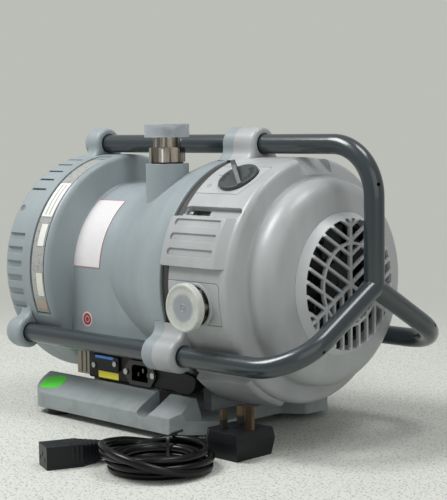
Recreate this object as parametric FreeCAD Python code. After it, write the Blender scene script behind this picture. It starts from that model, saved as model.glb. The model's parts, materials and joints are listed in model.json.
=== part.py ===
import FreeCAD, Part
import math
import os
from FreeCAD import Vector

# A dry scroll vacuum pump that lies along X, with a three-armed tube frame round it.
# +X points to the fan grille, -Y to the side with the exhaust port and the mains inlet, +Z up.
# The origin is on the floor, under the shaft axis, at the middle of the pump's length.
# Angles round the shaft axis are seen from +X: 0 is +Y, 90 is up, 180 is -Y.

# Layout along and round the shaft
SHAFT_HEIGHT = 150.0
REAR_END_X = -216.0
REAR_JOINT_X = -163.0
RING_FRONT_X = -126.2
WAIST_START_X = -119.5
FLARE_START_X = -61.0
FLANGE_START_X = 24.0
FLANGE_FACE_X = 44.3
COWL_START_X = 56.5
BARREL_END_X = 134.5
DRUM_START_X = 139.5
COWL_FRONT_X = 169.4
TUBE_ANGLES = (90.0, 210.0, 330.0)
TOP_ANGLE = 90.0
NEAR_ANGLE = 180.0
SEAM_ANGLE = 287.0

# Casting radii and walls
RING_STEP = 1.3
WAIST_RADIUS = 88.4
FLANGE_RADIUS = 117.1
REAR_COVER_RADIUS = 117.5
BARREL_RADIUS = 117.4
DRUM_RADIUS = 98.4
COWL_LIP_RADIUS = 64.0
BODY_WALL = 6.0
COVER_WALL = 4.0
SEAM = 0.4
RUNNING_GAP = 0.3
SLIP_FIT = 0.1
SHAFT_FIT = 0.05

# Space frame
TUBE_DIAMETER = 19.0
TUBE_WALL = 2.5
TUBE_CIRCLE_RADIUS = 130.0
TUBE_BEND_RADIUS = 48.0
TUBE_REAR_X = -184.0
ARM_PLANE_X = 206.5
TUBE_HOLE_RADIUS = 1.8
LUG_RADIUS = 16.5
LUG_FILLET = 12.0
LUG_EDGE = 4.0
LUG_BODY_START_X = 27.5
LUG_COWL_END_X = 70.7
REAR_LUG_FRONT_X = -162.0
REAR_LUG_ROUND_X = -178.0
LUG_MOUTH_RADIUS = 10.7
LUG_MOUTH_DEPTH = 2.5

# Foot
FOOT_BASE_Z = 7.0
FOOT_HALF_WIDTH = 112.0
FOOT_REAR_X = -169.5
FOOT_REAR_CORNER = 22.0
FOOT_SIDE_END_X = 48.5
FOOT_FRONT_X = 84.0
RAIL_INNER_Y = 80.0
RAIL_SHOULDER_Y = 84.0
RAIL_SIDE_TOP_Z = 23.0
RAIL_TOP_Z = 38.5
RAIL_WALL = 5.0
PLATE_BOTTOM_Z = 11.0
PLATE_TOP_Z = 19.8
CHANNEL_X = 10.5
CHANNEL_RADIUS = 10.0
CHANNEL_FLOOR_Z = 18.0
FOOT_HOLE_RADIUS = 4.5
FOOT_HOLE_FRONT_X = 68.0
FOOT_HOLE_REAR_X = -142.0
FOOT_HOLE_Y = 60.0
PAD_RADIUS = 12.0
PAD_BOSS_RADIUS = 12.5
PAD_PLACES = ((-138.0, 96.0), (-138.0, -96.0), (36.0, 97.0), (36.0, -97.0))
SADDLE_HALF_WIDTH = 50.0
SADDLE_DROP = 108.0
REAR_SADDLE = (-136.0, -128.0)
FRONT_SADDLE = (32.0, 43.0)
FOOT_BOLT_RADIUS = 3.0
FOOT_BOLT_Y = 25.0
FOOT_BOLT_DROP = 109.0

# Inlet port, with heights over the shaft
INLET_X = -15.0
INLET_Y = -50.0
INLET_BOSS_RADIUS = 21.5
INLET_BOSS_RISE = 111.5
INLET_BORE_RADIUS = 12.0
INLET_FLOOR_RISE = 94.0
INLET_ROOT_RISE = 55.0
INLET_DUCT_RADIUS = 8.0
INLET_RISE = 148.0
INLET_SPIGOT = 14.0

# Port hardware, the same at the inlet and the exhaust
PORT_FLANGE_RADIUS = 20.0
PORT_FLANGE_THICKNESS = 3.0
PORT_TAPER = 4.0
PORT_NECK_RADIUS = 14.0
PORT_HEX_ACROSS = 32.0
PORT_HEX_HEIGHT = 14.5
PORT_SEAL_THICKNESS = 1.5
PORT_COUNTERBORE_RADIUS = 13.1
PORT_COUNTERBORE_DEPTH = 3.0
CAP_RADIUS = 22.5
CAP_HEIGHT = 13.0
CAP_TOP = 2.5

# Exhaust port; its panel ends at an x and at two heights over the shaft
EXHAUST_X = 92.2
EXHAUST_DROP = 15.5
EXHAUST_REACH = 14.1
EXHAUST_HOLE_RADIUS = 18.7
EXHAUST_COLLAR_RADIUS = 21.5
EXHAUST_SEAT_DEPTH = 2.0
EXHAUST_SEAT_HALF = 14.0
EXHAUST_PANEL = (122.4, -32.0, 6.5)

# Gas ballast control
BALLAST_X = 94.8
BALLAST_ANGLE = 121.6
KNOB_RADIUS = 20.0
KNOB_THICKNESS = 3.5
KNOB_FIN_HEIGHT = 9.0
KNOB_FIN_THICKNESS = 4.0
KNOB_FIN_TURN = 45.0
KNOB_SEAT_DEPTH = 1.5
BALLAST_VALVE_RADIUS = 8.0

# Cowl details; the ribbed block's rise is over the shaft
COWL_TAB_THICKNESS = 4.0
SLOT_ANGLE = 143.5
SLOT_START_X = 57.0
SLOT_END_X = 130.0
SLOT_RADIUS = 5.0
SLOT_DEPTH = 5.0
BLOCK_START_X = 47.5
BLOCK_END_X = 118.0
BLOCK_FLANK_END_X = 133.0
BLOCK_RISE = (20.0, 65.0)
BLOCK_RAISE = 4.5
BLOCK_GROOVES = (150.6, 157.4, 164.3)
BLOCK_GROOVE_SPAN = (55.0, 114.0)
BLOCK_GROOVE_WIDTH = 7.2
BLOCK_GROOVE_DEPTH = 1.6
LEDGE_SPAN = (60.0, 127.0)
LEDGE_ANGLES = (226.0, 252.0)
LEDGE_RAISE = (9.3, 5.0)
VALLEY_START_X = 118.0
VALLEY_HALF_WIDTH = 21.0

# Rating band, let into the rear ring
BAND_SPAN = (-154.0, -130.4)
BAND_ANGLES = (100.6, 202.5)
BAND_DEPTH = 1.2

# Rear cover slots and screws
SLOT_STEP = 7.2
NARROW_SLOT_WIDTH = 2.6
WIDE_SLOT_WIDTH = 7.0
REAR_SLOT_FRONT_X = -169.5
NARROW_SLOT_REAR_X = -192.7
WIDE_SLOT_REAR_X = -203.0
REAR_SCREW_ANGLES = (147.0, 33.0, 270.0)
REAR_SCREW_X = -189.0
REAR_SCREW_HEAD_RADIUS = 3.6
REAR_SCREW_SEAT = 1.2
TONGUE_MARGIN = 5.5
TONGUE_THICKNESS = 5.0

# Motor and shaft
MOTOR_SLEEVE_RADIUS = 70.0
STATOR_RADIUS = 65.0
STATOR_BORE = 35.6
MOTOR_START_X = -115.0
MOTOR_END_X = -35.0
STATOR_START_X = -105.0
STATOR_END_X = -47.0
SHAFT_RADIUS = 14.0
REAR_JOURNAL_RADIUS = 8.5
FRONT_JOURNAL_RADIUS = 15.0
REAR_BEARING = (-134.0, -122.0, 20.0)
FRONT_BEARING = (-33.0, -17.0, 31.0)
CRANK_BEARING = (40.0, 52.0, 23.5)
CRANK_PIN_RADIUS = 12.5
END_SHIELD_THICKNESS = 6.0

# Scroll set
WALL_PITCH = 22.0
WALL_THICKNESS = 5.0
FLANK_GAP = 0.3
ORBITING_PLATE = (54.0, 64.0, 84.0)
SCROLL_CHAMBER_RADIUS = 94.0
SCROLL_HOUSING_RADIUS = 106.0
CONE_REAR_RADIUS = 76.0
CONE_FRONT_RADIUS = 101.0
LIP_DEPTH = 8.0
FIXED_PLATE_X = 88.0
FIXED_PLATE_THICKNESS = 11.0
FIN_HEIGHT = 24.0
FIN_THICKNESS = 2.6
FIN_PITCH = 13.0
TIP_GAP = 0.5
SEAL_HEIGHT = 0.9
SEAL_WIDTH = 2.2

# Fan and grille
FAN_START_X = 151.0
FAN_END_X = 162.0
FAN_TIP_RADIUS = 55.0
FAN_HUB_RADIUS = 20.0
FAN_PIN_RADIUS = 3.0
FAN_BLADES = 7
GRILLE_FRONT_X = 179.5
GRILLE_THICKNESS = 3.5
GRILLE_RADIUS = 61.3
GRILLE_BEZEL_RADIUS = 67.2
GRILLE_RIM_X = 177.0
GRILLE_PITCH = 11.7
GRILLE_BAR = 2.6
GRILLE_RING_RADIUS = 38.5
GRILLE_CORNER = 0.9

# Electrical box and mains inlet, with drops below the shaft
BOX_FACE_Y = -80.0
BOX_BACK_Y = -34.0
BOX_REAR_X = -107.0
BOX_FRONT_X = 26.0
BOX_BOTTOM_DROP = 110.0
BOX_TOP_DROP = 82.5
BOX_WALL = 3.0
FACE_PLATE = 2.5
FACE_SCREW_HEAD = 1.6
NOSE_END_X = 52.0
TERMINAL_REAR_X = -127.5
INLET_PLUG_X = -25.8
INLET_PLUG_DROP = 96.9
INLET_SCREW_PITCH = 40.0
VOLTAGE_COVER = (-100.5, -58.0, -99.5, -85.0)
VOLTAGE_SCREWS = ((-95.8, -96.0), (-62.9, -91.7))

# Mains lead, which lies on the floor
CORD_RADIUS = 3.5
COIL_X = 112.0
COIL_Y = -186.0
COIL_OUTER_RADIUS = 52.5
COIL_INNER_RADIUS = 30.5
COIL_HEIGHT = 21.0
TIE_ANGLE = 118.0
CONNECTOR_X = 34.5
CONNECTOR_Y = -251.0
CONNECTOR_ANGLE = 67.6
CONNECTOR_LENGTH = 34.0
CONNECTOR_RELIEF = 18.0
CONNECTOR_HEIGHT = 20.5
CONNECTOR_WIDTH = 26.0
PLUG_X = (107.0, 152.5)
PLUG_Y = (-127.0, -77.0)
PLUG_HEIGHT = 25.0
PLUG_EARTH_X = 144.8
PLUG_LINE_X = 122.6
PLUG_LINE_OFFSET = 11.1
CONNECTOR_TAIL_REACH = 70.0
CONNECTOR_TAIL_END = (71.5, -167.5, 12.0)
PLUG_TAIL = (
    (70.0, -202.0, 3.6),
    (59.5, -172.0, 3.6),
    (61.0, -139.0, 3.8),
    (77.0, -112.5, 6.5),
    (107.0, -102.0, 9.0),
)

# Directions, and values that follow from those above
X_AXIS = Vector(1, 0, 0)
Y_AXIS = Vector(0, 1, 0)
Z_AXIS = Vector(0, 0, 1)
AXIS_POINT = Vector(0, 0, SHAFT_HEIGHT)
FAR = 400.0
TUBE_RADIUS = TUBE_DIAMETER / 2
LUG_BORE_RADIUS = TUBE_RADIUS + SLIP_FIT
TUBE_BEND_X = ARM_PLANE_X - TUBE_BEND_RADIUS
ORBIT_RADIUS = WALL_PITCH / 2 - WALL_THICKNESS - FLANK_GAP
RING_RADIUS = REAR_COVER_RADIUS + RING_STEP
SADDLE_TOP_Z = SHAFT_HEIGHT - SADDLE_DROP
FOOT_BOLT_TOP_Z = SHAFT_HEIGHT - FOOT_BOLT_DROP
INLET_BOSS_TOP_Z = SHAFT_HEIGHT + INLET_BOSS_RISE
INLET_BORE_FLOOR_Z = SHAFT_HEIGHT + INLET_FLOOR_RISE
INLET_BOSS_ROOT_Z = SHAFT_HEIGHT + INLET_ROOT_RISE
INLET_TOP_Z = SHAFT_HEIGHT + INLET_RISE
EXHAUST_Z = SHAFT_HEIGHT - EXHAUST_DROP
EXHAUST_FLANGE_Y = -BARREL_RADIUS - EXHAUST_REACH
BOX_BOTTOM_Z = SHAFT_HEIGHT - BOX_BOTTOM_DROP
BOX_TOP_Z = SHAFT_HEIGHT - BOX_TOP_DROP
INLET_PLUG_Z = SHAFT_HEIGHT - INLET_PLUG_DROP
COWL_SCREW_RADIUS = (BARREL_RADIUS - COVER_WALL + SCROLL_HOUSING_RADIUS) / 2 + 0.2
KNOB_SEAT_RADIUS = BARREL_RADIUS - KNOB_SEAT_DEPTH
FIXED_PLATE_BACK_X = FIXED_PLATE_X + FIXED_PLATE_THICKNESS
CONNECTOR_END = CONNECTOR_LENGTH + CONNECTOR_RELIEF


def in_end_view(x):
    """Place (y, z) points, with z from the shaft axis, on the plane at x."""
    return lambda y, z: Vector(x, y, SHAFT_HEIGHT + z)


def in_side_view(y):
    """Place (x, z) points on the plane at y."""
    return lambda x, z: Vector(x, y, z)


def in_top_view(z):
    """Place (x, y) points on the plane at z."""
    return lambda x, y: Vector(x, y, z)


def rounded_wire(corners, place):
    """Closed wire through (u, v) or (u, v, radius) corners, each rounded by its radius."""
    points = [Vector(c[0], c[1], 0) for c in corners]
    radii = [c[2] if len(c) > 2 else 0.0 for c in corners]
    count = len(points)
    stations = []
    for i, corner in enumerate(points):
        back = (points[i - 1] - corner).normalize()
        ahead = (points[(i + 1) % count] - corner).normalize()
        if radii[i] == 0:
            stations.append((corner, None, corner))
            continue
        half = back.getAngle(ahead) / 2
        reach = radii[i] / math.tan(half)
        middle = (back + ahead).normalize()
        centre = corner + middle * (radii[i] / math.sin(half))
        stations.append((corner + back * reach, centre - middle * radii[i], corner + ahead * reach))
    edges = []
    for i, (start, through, end) in enumerate(stations):
        if through is not None:
            arc = Part.Arc(place(start.x, start.y), place(through.x, through.y), place(end.x, end.y))
            edges.append(arc.toShape())
        following = stations[(i + 1) % count][0]
        if (following - end).Length > 1e-6:
            edges.append(Part.makeLine(place(end.x, end.y), place(following.x, following.y)))
    return Part.Wire(edges)


def turned(corners):
    """Solid of revolution round the shaft axis from (x, radius) corners."""
    seam = math.radians(SEAM_ANGLE)
    face = Part.Face(rounded_wire(
        corners,
        lambda x, r: Vector(x, r * math.cos(seam), SHAFT_HEIGHT + r * math.sin(seam)),
    ))
    return face.revolve(AXIS_POINT, X_AXIS, 360)


def prism(corners, place, direction):
    """Straight solid from a rounded outline, pushed along a direction."""
    return Part.Face(rounded_wire(corners, place)).extrude(direction)


def rod(radius, start_x, end_x, y=0.0, z=0.0):
    """Cylinder along X, with y and z from the shaft axis."""
    return Part.makeCylinder(radius, end_x - start_x, Vector(start_x, y, SHAFT_HEIGHT + z), X_AXIS)


def hoop(outer, inner, start_x, end_x, y=0.0, z=0.0):
    """Hollow cylinder along X, with y and z from the shaft axis."""
    return rod(outer, start_x, end_x, y, z).cut(rod(inner, start_x - 1, end_x + 1, y, z))


def box(low, high):
    """Block between two corners."""
    low_point = Vector(*low)
    size = Vector(*high) - low_point
    return Part.makeBox(size.x, size.y, size.z, low_point)


def fused(shapes):
    """One solid from several that touch or overlap."""
    whole = shapes[0]
    for shape in shapes[1:]:
        whole = whole.fuse(shape)
    merged = whole.copy().removeSplitter()
    return merged if merged.isValid() else whole


def together(shapes):
    """Separate solids kept in one shape."""
    return Part.makeCompound(shapes)


def at_angle(shape, angle):
    """Copy of a shape modelled at the top, turned to an angle round the shaft."""
    copy = shape.copy()
    copy.rotate(AXIS_POINT, X_AXIS, angle - TOP_ANGLE)
    return copy


def lug(start_x, end_x, carrier_radius, round_x):
    """Tube lug at the top: a round eye that runs into its casting in two tangent hollows.

    Its edges are rounded at the end round_x.
    """
    eye = Vector(0, TUBE_CIRCLE_RADIUS, 0)
    far = carrier_radius + LUG_FILLET
    near = LUG_RADIUS + LUG_FILLET
    v = (far ** 2 - near ** 2 + TUBE_CIRCLE_RADIUS ** 2) / (2 * TUBE_CIRCLE_RADIUS)
    u = math.sqrt(far ** 2 - v ** 2)
    hollow = Vector(u, v, 0)
    on_eye = eye + (hollow - eye).normalize() * LUG_RADIUS
    on_carrier = Vector(u, v, 0).normalize() * carrier_radius
    to_middle = ((on_eye - hollow).normalize() + (on_carrier - hollow).normalize()).normalize()
    in_hollow = hollow + to_middle * LUG_FILLET
    place = in_end_view(start_x)
    edge_floor = SHAFT_HEIGHT + on_carrier.y + 0.5

    def arc(a, b, c):
        return Part.Arc(place(a.x, a.y), place(b.x, b.y), place(c.x, c.y)).toShape()

    def mirrored(p):
        return Vector(-p.x, p.y, 0)

    crown = Vector(0, TUBE_CIRCLE_RADIUS + LUG_RADIUS, 0)
    base = Part.makeLine(
        place(-on_carrier.x, on_carrier.y),
        place(on_carrier.x, on_carrier.y),
    )
    edges = [
        arc(on_eye, crown, mirrored(on_eye)),
        arc(mirrored(on_eye), mirrored(in_hollow), mirrored(on_carrier)),
        base,
        arc(on_carrier, in_hollow, on_eye),
    ]
    solid = Part.Face(Part.Wire(edges)).extrude(X_AXIS * (end_x - start_x))
    rounded = [
        edge for edge in solid.Edges
        if abs(edge.CenterOfMass.x - round_x) < 0.01 and edge.CenterOfMass.z > edge_floor
    ]
    return solid.makeFillet(LUG_EDGE, rounded)


def lug_bore(start_x, mouth_x, side):
    """Hole along the frame tube at the top, wider at the lug's mouth, which faces side 1 or -1 in X."""
    bore = rod(LUG_BORE_RADIUS, start_x, TUBE_BEND_X, 0, TUBE_CIRCLE_RADIUS)
    span = sorted((mouth_x - side * LUG_MOUTH_DEPTH, mouth_x + side))
    return bore.fuse(rod(LUG_MOUTH_RADIUS, span[0], span[1], 0, TUBE_CIRCLE_RADIUS))


def frame_tube(angle):
    """Frame tube: a straight run, a bend, and a radial arm mitred where the three arms meet."""
    bend_centre = Vector(TUBE_BEND_X, 0, SHAFT_HEIGHT + TUBE_CIRCLE_RADIUS - TUBE_BEND_RADIUS)
    arm_top = TUBE_CIRCLE_RADIUS - TUBE_BEND_RADIUS

    def run(radius):
        straight = rod(radius, TUBE_REAR_X, TUBE_BEND_X, 0, TUBE_CIRCLE_RADIUS)
        disc = Part.Face(Part.Wire(Part.makeCircle(
            radius,
            Vector(TUBE_BEND_X, 0, SHAFT_HEIGHT + TUBE_CIRCLE_RADIUS),
            X_AXIS,
        )))
        bend = disc.revolve(bend_centre, Y_AXIS, 90)
        arm = Part.makeCylinder(
            radius,
            arm_top + TUBE_DIAMETER,
            Vector(ARM_PLANE_X, 0, SHAFT_HEIGHT - TUBE_DIAMETER),
            Z_AXIS,
        )
        return fused([straight, bend, arm])

    tube = run(TUBE_RADIUS).cut(run(TUBE_RADIUS - TUBE_WALL))
    reach = TUBE_DIAMETER * 3
    spread = reach * math.tan(math.radians(60))
    wedge = prism(
        [(0, 0), (spread, reach), (spread, -reach), (-spread, -reach), (-spread, reach)],
        in_end_view(ARM_PLANE_X - TUBE_DIAMETER),
        X_AXIS * (2 * TUBE_DIAMETER),
    )
    away = math.radians(78)
    hole_start = bend_centre + Vector(math.sin(away), 0, math.cos(away)) * TUBE_BEND_RADIUS
    hole = Part.makeCylinder(
        TUBE_HOLE_RADIUS,
        TUBE_DIAMETER,
        hole_start,
        Vector(math.sin(away), -0.35, math.cos(away)),
    )
    return at_angle(tube.cut(wedge).cut(hole), angle)


def flare_outline(inset):
    """Outline points of the body from its waist to its flange, drawn in by an inset."""
    return [
        (FLARE_START_X, WAIST_RADIUS - inset, 30),
        (FLANGE_START_X, FLANGE_RADIUS - 1.2 - inset, 20),
    ]


def body_outer():
    """Outside of the body casting as one solid of revolution."""
    return turned([
        (REAR_JOINT_X, 0),
        (REAR_JOINT_X, RING_RADIUS, 1.5),
        (RING_FRONT_X, RING_RADIUS, 7),
        (WAIST_START_X, WAIST_RADIUS, 3),
        *flare_outline(0),
        (FLANGE_FACE_X, FLANGE_RADIUS, 1),
        (FLANGE_FACE_X, 0),
    ])


def body_inner():
    """Hollow inside the body casting, with a lip that seats the scroll housing."""
    lip_x = FLANGE_FACE_X - LIP_DEPTH
    return turned([
        (REAR_JOINT_X - 1, 0),
        (REAR_JOINT_X - 1, RING_RADIUS - BODY_WALL),
        (RING_FRONT_X - BODY_WALL, RING_RADIUS - BODY_WALL, 3),
        (WAIST_START_X - BODY_WALL, WAIST_RADIUS - BODY_WALL, 3),
        *flare_outline(BODY_WALL),
        (lip_x - 6, FLANGE_RADIUS - BODY_WALL - 1),
        (lip_x - 6, SCROLL_HOUSING_RADIUS - 2),
        (lip_x, SCROLL_HOUSING_RADIUS - 2),
        (lip_x, SCROLL_HOUSING_RADIUS + 6),
        (FLANGE_FACE_X + 1, SCROLL_HOUSING_RADIUS + 6),
        (FLANGE_FACE_X + 1, 0),
    ])


def motor_sleeve():
    """Round sleeve for the stator, with six ribs out to the waist."""
    sleeve = hoop(MOTOR_SLEEVE_RADIUS, STATOR_RADIUS, MOTOR_START_X, MOTOR_END_X)
    rib = box(
        (MOTOR_START_X, -3, SHAFT_HEIGHT + MOTOR_SLEEVE_RADIUS - 1),
        (FLARE_START_X, 3, SHAFT_HEIGHT + WAIST_RADIUS - BODY_WALL / 2),
    )
    return [sleeve] + [at_angle(rib, angle) for angle in range(30, 390, 60)]


def body_skirts():
    """Upright lower walls that drop from the waist beside the shaft axis."""
    band = rod(FLANGE_RADIUS, WAIST_START_X - 3, FLANGE_FACE_X)
    hollow = rod(WAIST_RADIUS - BODY_WALL, WAIST_START_X - 5, FLANGE_FACE_X + 1)
    walls = []
    for side in (-1, 1):
        outer_y = side * WAIST_RADIUS
        inner_y = side * (WAIST_RADIUS - BODY_WALL)
        wall = box(
            (WAIST_START_X - 3, min(outer_y, inner_y), BOX_TOP_Z + 0.5),
            (FLANGE_START_X, max(outer_y, inner_y), SHAFT_HEIGHT),
        )
        walls.append(wall.common(band).cut([hollow, housing_cone(RUNNING_GAP)]))
    return walls


def housing_cone(gap):
    """Round form inside the scroll housing's cone, grown by a gap."""
    return turned([
        (MOTOR_END_X - gap, 0),
        (MOTOR_END_X - gap, CONE_REAR_RADIUS + gap),
        (FLANGE_FACE_X - LIP_DEPTH - 10, CONE_FRONT_RADIUS + gap),
        (FLANGE_FACE_X - LIP_DEPTH, CONE_FRONT_RADIUS + gap),
        (FLANGE_FACE_X - LIP_DEPTH, 0),
    ])


def inlet_duct():
    """Upright gas passage from the inlet bore into the scroll housing."""
    return Part.makeCylinder(
        INLET_DUCT_RADIUS,
        INLET_BORE_FLOOR_Z - SHAFT_HEIGHT,
        Vector(INLET_X, INLET_Y, SHAFT_HEIGHT),
    )


def foot_bolt_places():
    """Plan positions of the bolts that hold the pump to its foot."""
    places = []
    for span in (REAR_SADDLE, FRONT_SADDLE):
        middle = (span[0] + span[1]) / 2
        places += [(middle, -FOOT_BOLT_Y), (middle, FOOT_BOLT_Y)]
    return places


def foot_bolt_holes():
    """Upright holes for the foot bolts."""
    return [
        Part.makeCylinder(FOOT_BOLT_RADIUS + 0.1, FOOT_BOLT_TOP_Z + 1, Vector(x, y, 0))
        for x, y in foot_bolt_places()
    ]


def body_casting():
    """Blue-grey casting: rear ring, waist, flare, flange, half lugs and inlet boss."""
    boss = Part.makeCylinder(
        INLET_BOSS_RADIUS,
        INLET_BOSS_TOP_Z - INLET_BOSS_ROOT_Z,
        Vector(INLET_X, INLET_Y, INLET_BOSS_ROOT_Z),
    ).cut(housing_cone(RUNNING_GAP))
    shell = body_outer().cut(body_inner())
    lugs = [
        at_angle(lug(LUG_BODY_START_X, FLANGE_FACE_X, FLANGE_RADIUS, LUG_BODY_START_X), angle)
        for angle in TUBE_ANGLES
    ]
    tongues = [
        at_angle(rear_tongue(), angle) for angle in REAR_SCREW_ANGLES
    ]
    solid = fused([shell, boss] + motor_sleeve() + body_skirts() + lugs + tongues)
    bore = Part.makeCylinder(
        INLET_BORE_RADIUS,
        FAR,
        Vector(INLET_X, INLET_Y, INLET_BORE_FLOOR_Z),
    ).fuse(inlet_duct())
    cuts = [bore, rating_band()] + foot_bolt_holes() + scroll_housing_bolts(True)
    cuts += [at_angle(lug_bore(TUBE_REAR_X, LUG_BODY_START_X, -1), angle) for angle in TUBE_ANGLES]
    cuts += [at_angle(rear_screw(SLIP_FIT), angle) for angle in REAR_SCREW_ANGLES]
    cuts += [at_angle(cowl_screw(SLIP_FIT), angle) for angle in cowl_screw_angles()]
    return solid.cut(cuts)


def sector(angles, start_x, end_x):
    """Wedge round the shaft between two angles less than 180 degrees apart."""
    middle = (angles[0] + angles[1]) / 2
    corners = [(0, 0)]
    for angle in (angles[0], middle, angles[1]):
        turn = math.radians(angle)
        corners.append((FAR * math.cos(turn), FAR * math.sin(turn)))
    return prism(corners, in_end_view(start_x), X_AXIS * (end_x - start_x))


def rating_band():
    """Shallow recess in the rear ring for the rating plate."""
    start, end = BAND_SPAN
    band = hoop(RING_RADIUS + 1, RING_RADIUS - BAND_DEPTH, start, end)
    return band.common(sector(BAND_ANGLES, start, end))


def rear_tongue():
    """Tongue of the body that the rear cover's screws reach, at the top."""
    outer = REAR_COVER_RADIUS - COVER_WALL - RUNNING_GAP
    start = REAR_SCREW_X - TONGUE_MARGIN
    ring = hoop(outer, outer - TONGUE_THICKNESS, start, REAR_JOINT_X + BODY_WALL - 2)
    return ring.common(box((start - 1, -9, SHAFT_HEIGHT), (0, 9, FAR)))


def rear_screw(gap):
    """Radial screw of the rear cover at the top, or its hole with a gap added."""
    seat = REAR_COVER_RADIUS - COVER_WALL
    shank = Part.makeCylinder(2.0 + gap, 10, Vector(REAR_SCREW_X, 0, SHAFT_HEIGHT + seat - 7.5))
    head = Part.makeCylinder(
        REAR_SCREW_HEAD_RADIUS + gap,
        2.2,
        Vector(REAR_SCREW_X, 0, SHAFT_HEIGHT + seat + REAR_SCREW_SEAT),
    )
    return fused([shank, head])


def rear_cover():
    """Domed rear cover with cooling slots and three closed lugs for the tubes."""
    outer = turned([
        (REAR_JOINT_X, 0),
        (REAR_JOINT_X, REAR_COVER_RADIUS, 0.8),
        (REAR_END_X + 20, REAR_COVER_RADIUS, 8),
        (REAR_END_X, REAR_COVER_RADIUS - 20, 10),
        (REAR_END_X, 0),
    ])
    inner = turned([
        (REAR_JOINT_X + 1, 0),
        (REAR_JOINT_X + 1, REAR_COVER_RADIUS - COVER_WALL),
        (REAR_END_X + 21, REAR_COVER_RADIUS - COVER_WALL),
        (REAR_END_X + COVER_WALL, REAR_COVER_RADIUS - 22, 6),
        (REAR_END_X + COVER_WALL, 0),
    ])
    lugs = []
    for angle in TUBE_ANGLES:
        eye = lug(REAR_LUG_ROUND_X, REAR_LUG_FRONT_X, REAR_COVER_RADIUS, REAR_LUG_FRONT_X)
        dome = Part.makeSphere(
            LUG_RADIUS - 0.1,
            Vector(REAR_LUG_ROUND_X + 0.4, 0, SHAFT_HEIGHT + TUBE_CIRCLE_RADIUS),
        )
        lugs.append(at_angle(eye.fuse(dome), angle))
    solid = fused([outer] + lugs).cut(inner)
    cuts = [at_angle(lug_bore(TUBE_REAR_X, REAR_LUG_FRONT_X, 1), angle) for angle in TUBE_ANGLES]
    cuts += [rod(RING_RADIUS + RUNNING_GAP, REAR_JOINT_X, REAR_LUG_FRONT_X + 1)]
    cuts += rear_slots()
    screw_well = Part.makeCylinder(
        REAR_SCREW_HEAD_RADIUS + 2 * SLIP_FIT,
        COVER_WALL * 2,
        Vector(REAR_SCREW_X, 0, SHAFT_HEIGHT + REAR_COVER_RADIUS - COVER_WALL + REAR_SCREW_SEAT),
    )
    for angle in REAR_SCREW_ANGLES:
        cuts += [at_angle(rear_screw(SLIP_FIT), angle), at_angle(screw_well, angle)]
    return solid.cut(cuts)


def rear_slots():
    """Narrow slots through the rear cover above, wide grooves at its sides."""
    narrow = box(
        (NARROW_SLOT_REAR_X, -NARROW_SLOT_WIDTH / 2, SHAFT_HEIGHT + REAR_COVER_RADIUS - 8),
        (REAR_SLOT_FRONT_X, NARROW_SLOT_WIDTH / 2, SHAFT_HEIGHT + REAR_COVER_RADIUS + 5),
    )
    wide = box(
        (WIDE_SLOT_REAR_X, -WIDE_SLOT_WIDTH / 2, SHAFT_HEIGHT + REAR_COVER_RADIUS - COVER_WALL + 1.3),
        (REAR_SLOT_FRONT_X, WIDE_SLOT_WIDTH / 2, SHAFT_HEIGHT + REAR_COVER_RADIUS + 5),
    )
    slots = []
    for step in range(5):
        for mirror in (-1, 1):
            lean = 16.0 + SLOT_STEP * step
            slots.append(at_angle(narrow, TOP_ANGLE - mirror * lean))
    for step in range(6):
        tilt = -17.5 + SLOT_STEP * step
        slots.append(at_angle(wide, NEAR_ANGLE + tilt))
        slots.append(at_angle(wide, -tilt))
    return slots


def rear_cover_screws():
    """Three radial screws that hold the rear cover to the body's tongues."""
    return together([at_angle(rear_screw(0), angle) for angle in REAR_SCREW_ANGLES])


def valley(depth):
    """Hand clearance under the top tube, where the barrel drops to the drum."""
    low = DRUM_RADIUS - depth
    high = BARREL_RADIUS - depth
    return prism(
        [(VALLEY_START_X, high + 1), (VALLEY_START_X, high), (DRUM_START_X + 3, low),
         (DRUM_START_X + 3, high + 1)],
        lambda x, r: Vector(x, -VALLEY_HALF_WIDTH - depth, SHAFT_HEIGHT + r),
        Y_AXIS * (2 * (VALLEY_HALF_WIDTH + depth)),
    )


def cowl_form(inset):
    """Stepped form of the cowl as a solid, drawn in by an inset."""
    start = COWL_START_X if inset == 0 else COWL_START_X - 1
    front = COWL_FRONT_X if inset == 0 else COWL_FRONT_X - inset
    form = turned([
        (start, 0),
        (start, BARREL_RADIUS - inset),
        (BARREL_END_X - inset / 2, BARREL_RADIUS - inset, 7),
        (DRUM_START_X - inset / 2, DRUM_RADIUS - inset, 4),
        (COWL_FRONT_X - 5 - inset, DRUM_RADIUS - inset, 18),
        (front, GRILLE_BEZEL_RADIUS - inset),
        (front, 0),
    ])
    return form.cut(valley(inset))


def ribbed_block():
    """Raised block on the near side of the barrel, with three recesses."""
    raised = BARREL_RADIUS + BLOCK_RAISE
    low_z = SHAFT_HEIGHT + BLOCK_RISE[0]
    high_z = SHAFT_HEIGHT + BLOCK_RISE[1]
    span = rod(raised, BLOCK_START_X, BLOCK_FLANK_END_X)
    flank = turned([
        (BLOCK_START_X, BARREL_RADIUS - 1.5),
        (BLOCK_START_X, raised, 1.5),
        (BLOCK_END_X, raised, 6),
        (BLOCK_FLANK_END_X, BARREL_RADIUS - COVER_WALL / 2),
    ])
    plan = prism(
        [
            (BLOCK_START_X, low_z, 4),
            (BLOCK_START_X, high_z, 4),
            (BLOCK_FLANK_END_X, high_z, 8),
            (BLOCK_FLANK_END_X, low_z, 8),
        ],
        in_side_view(-FAR),
        Y_AXIS * FAR,
    )
    return flank.common(plan).common(span)


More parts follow.
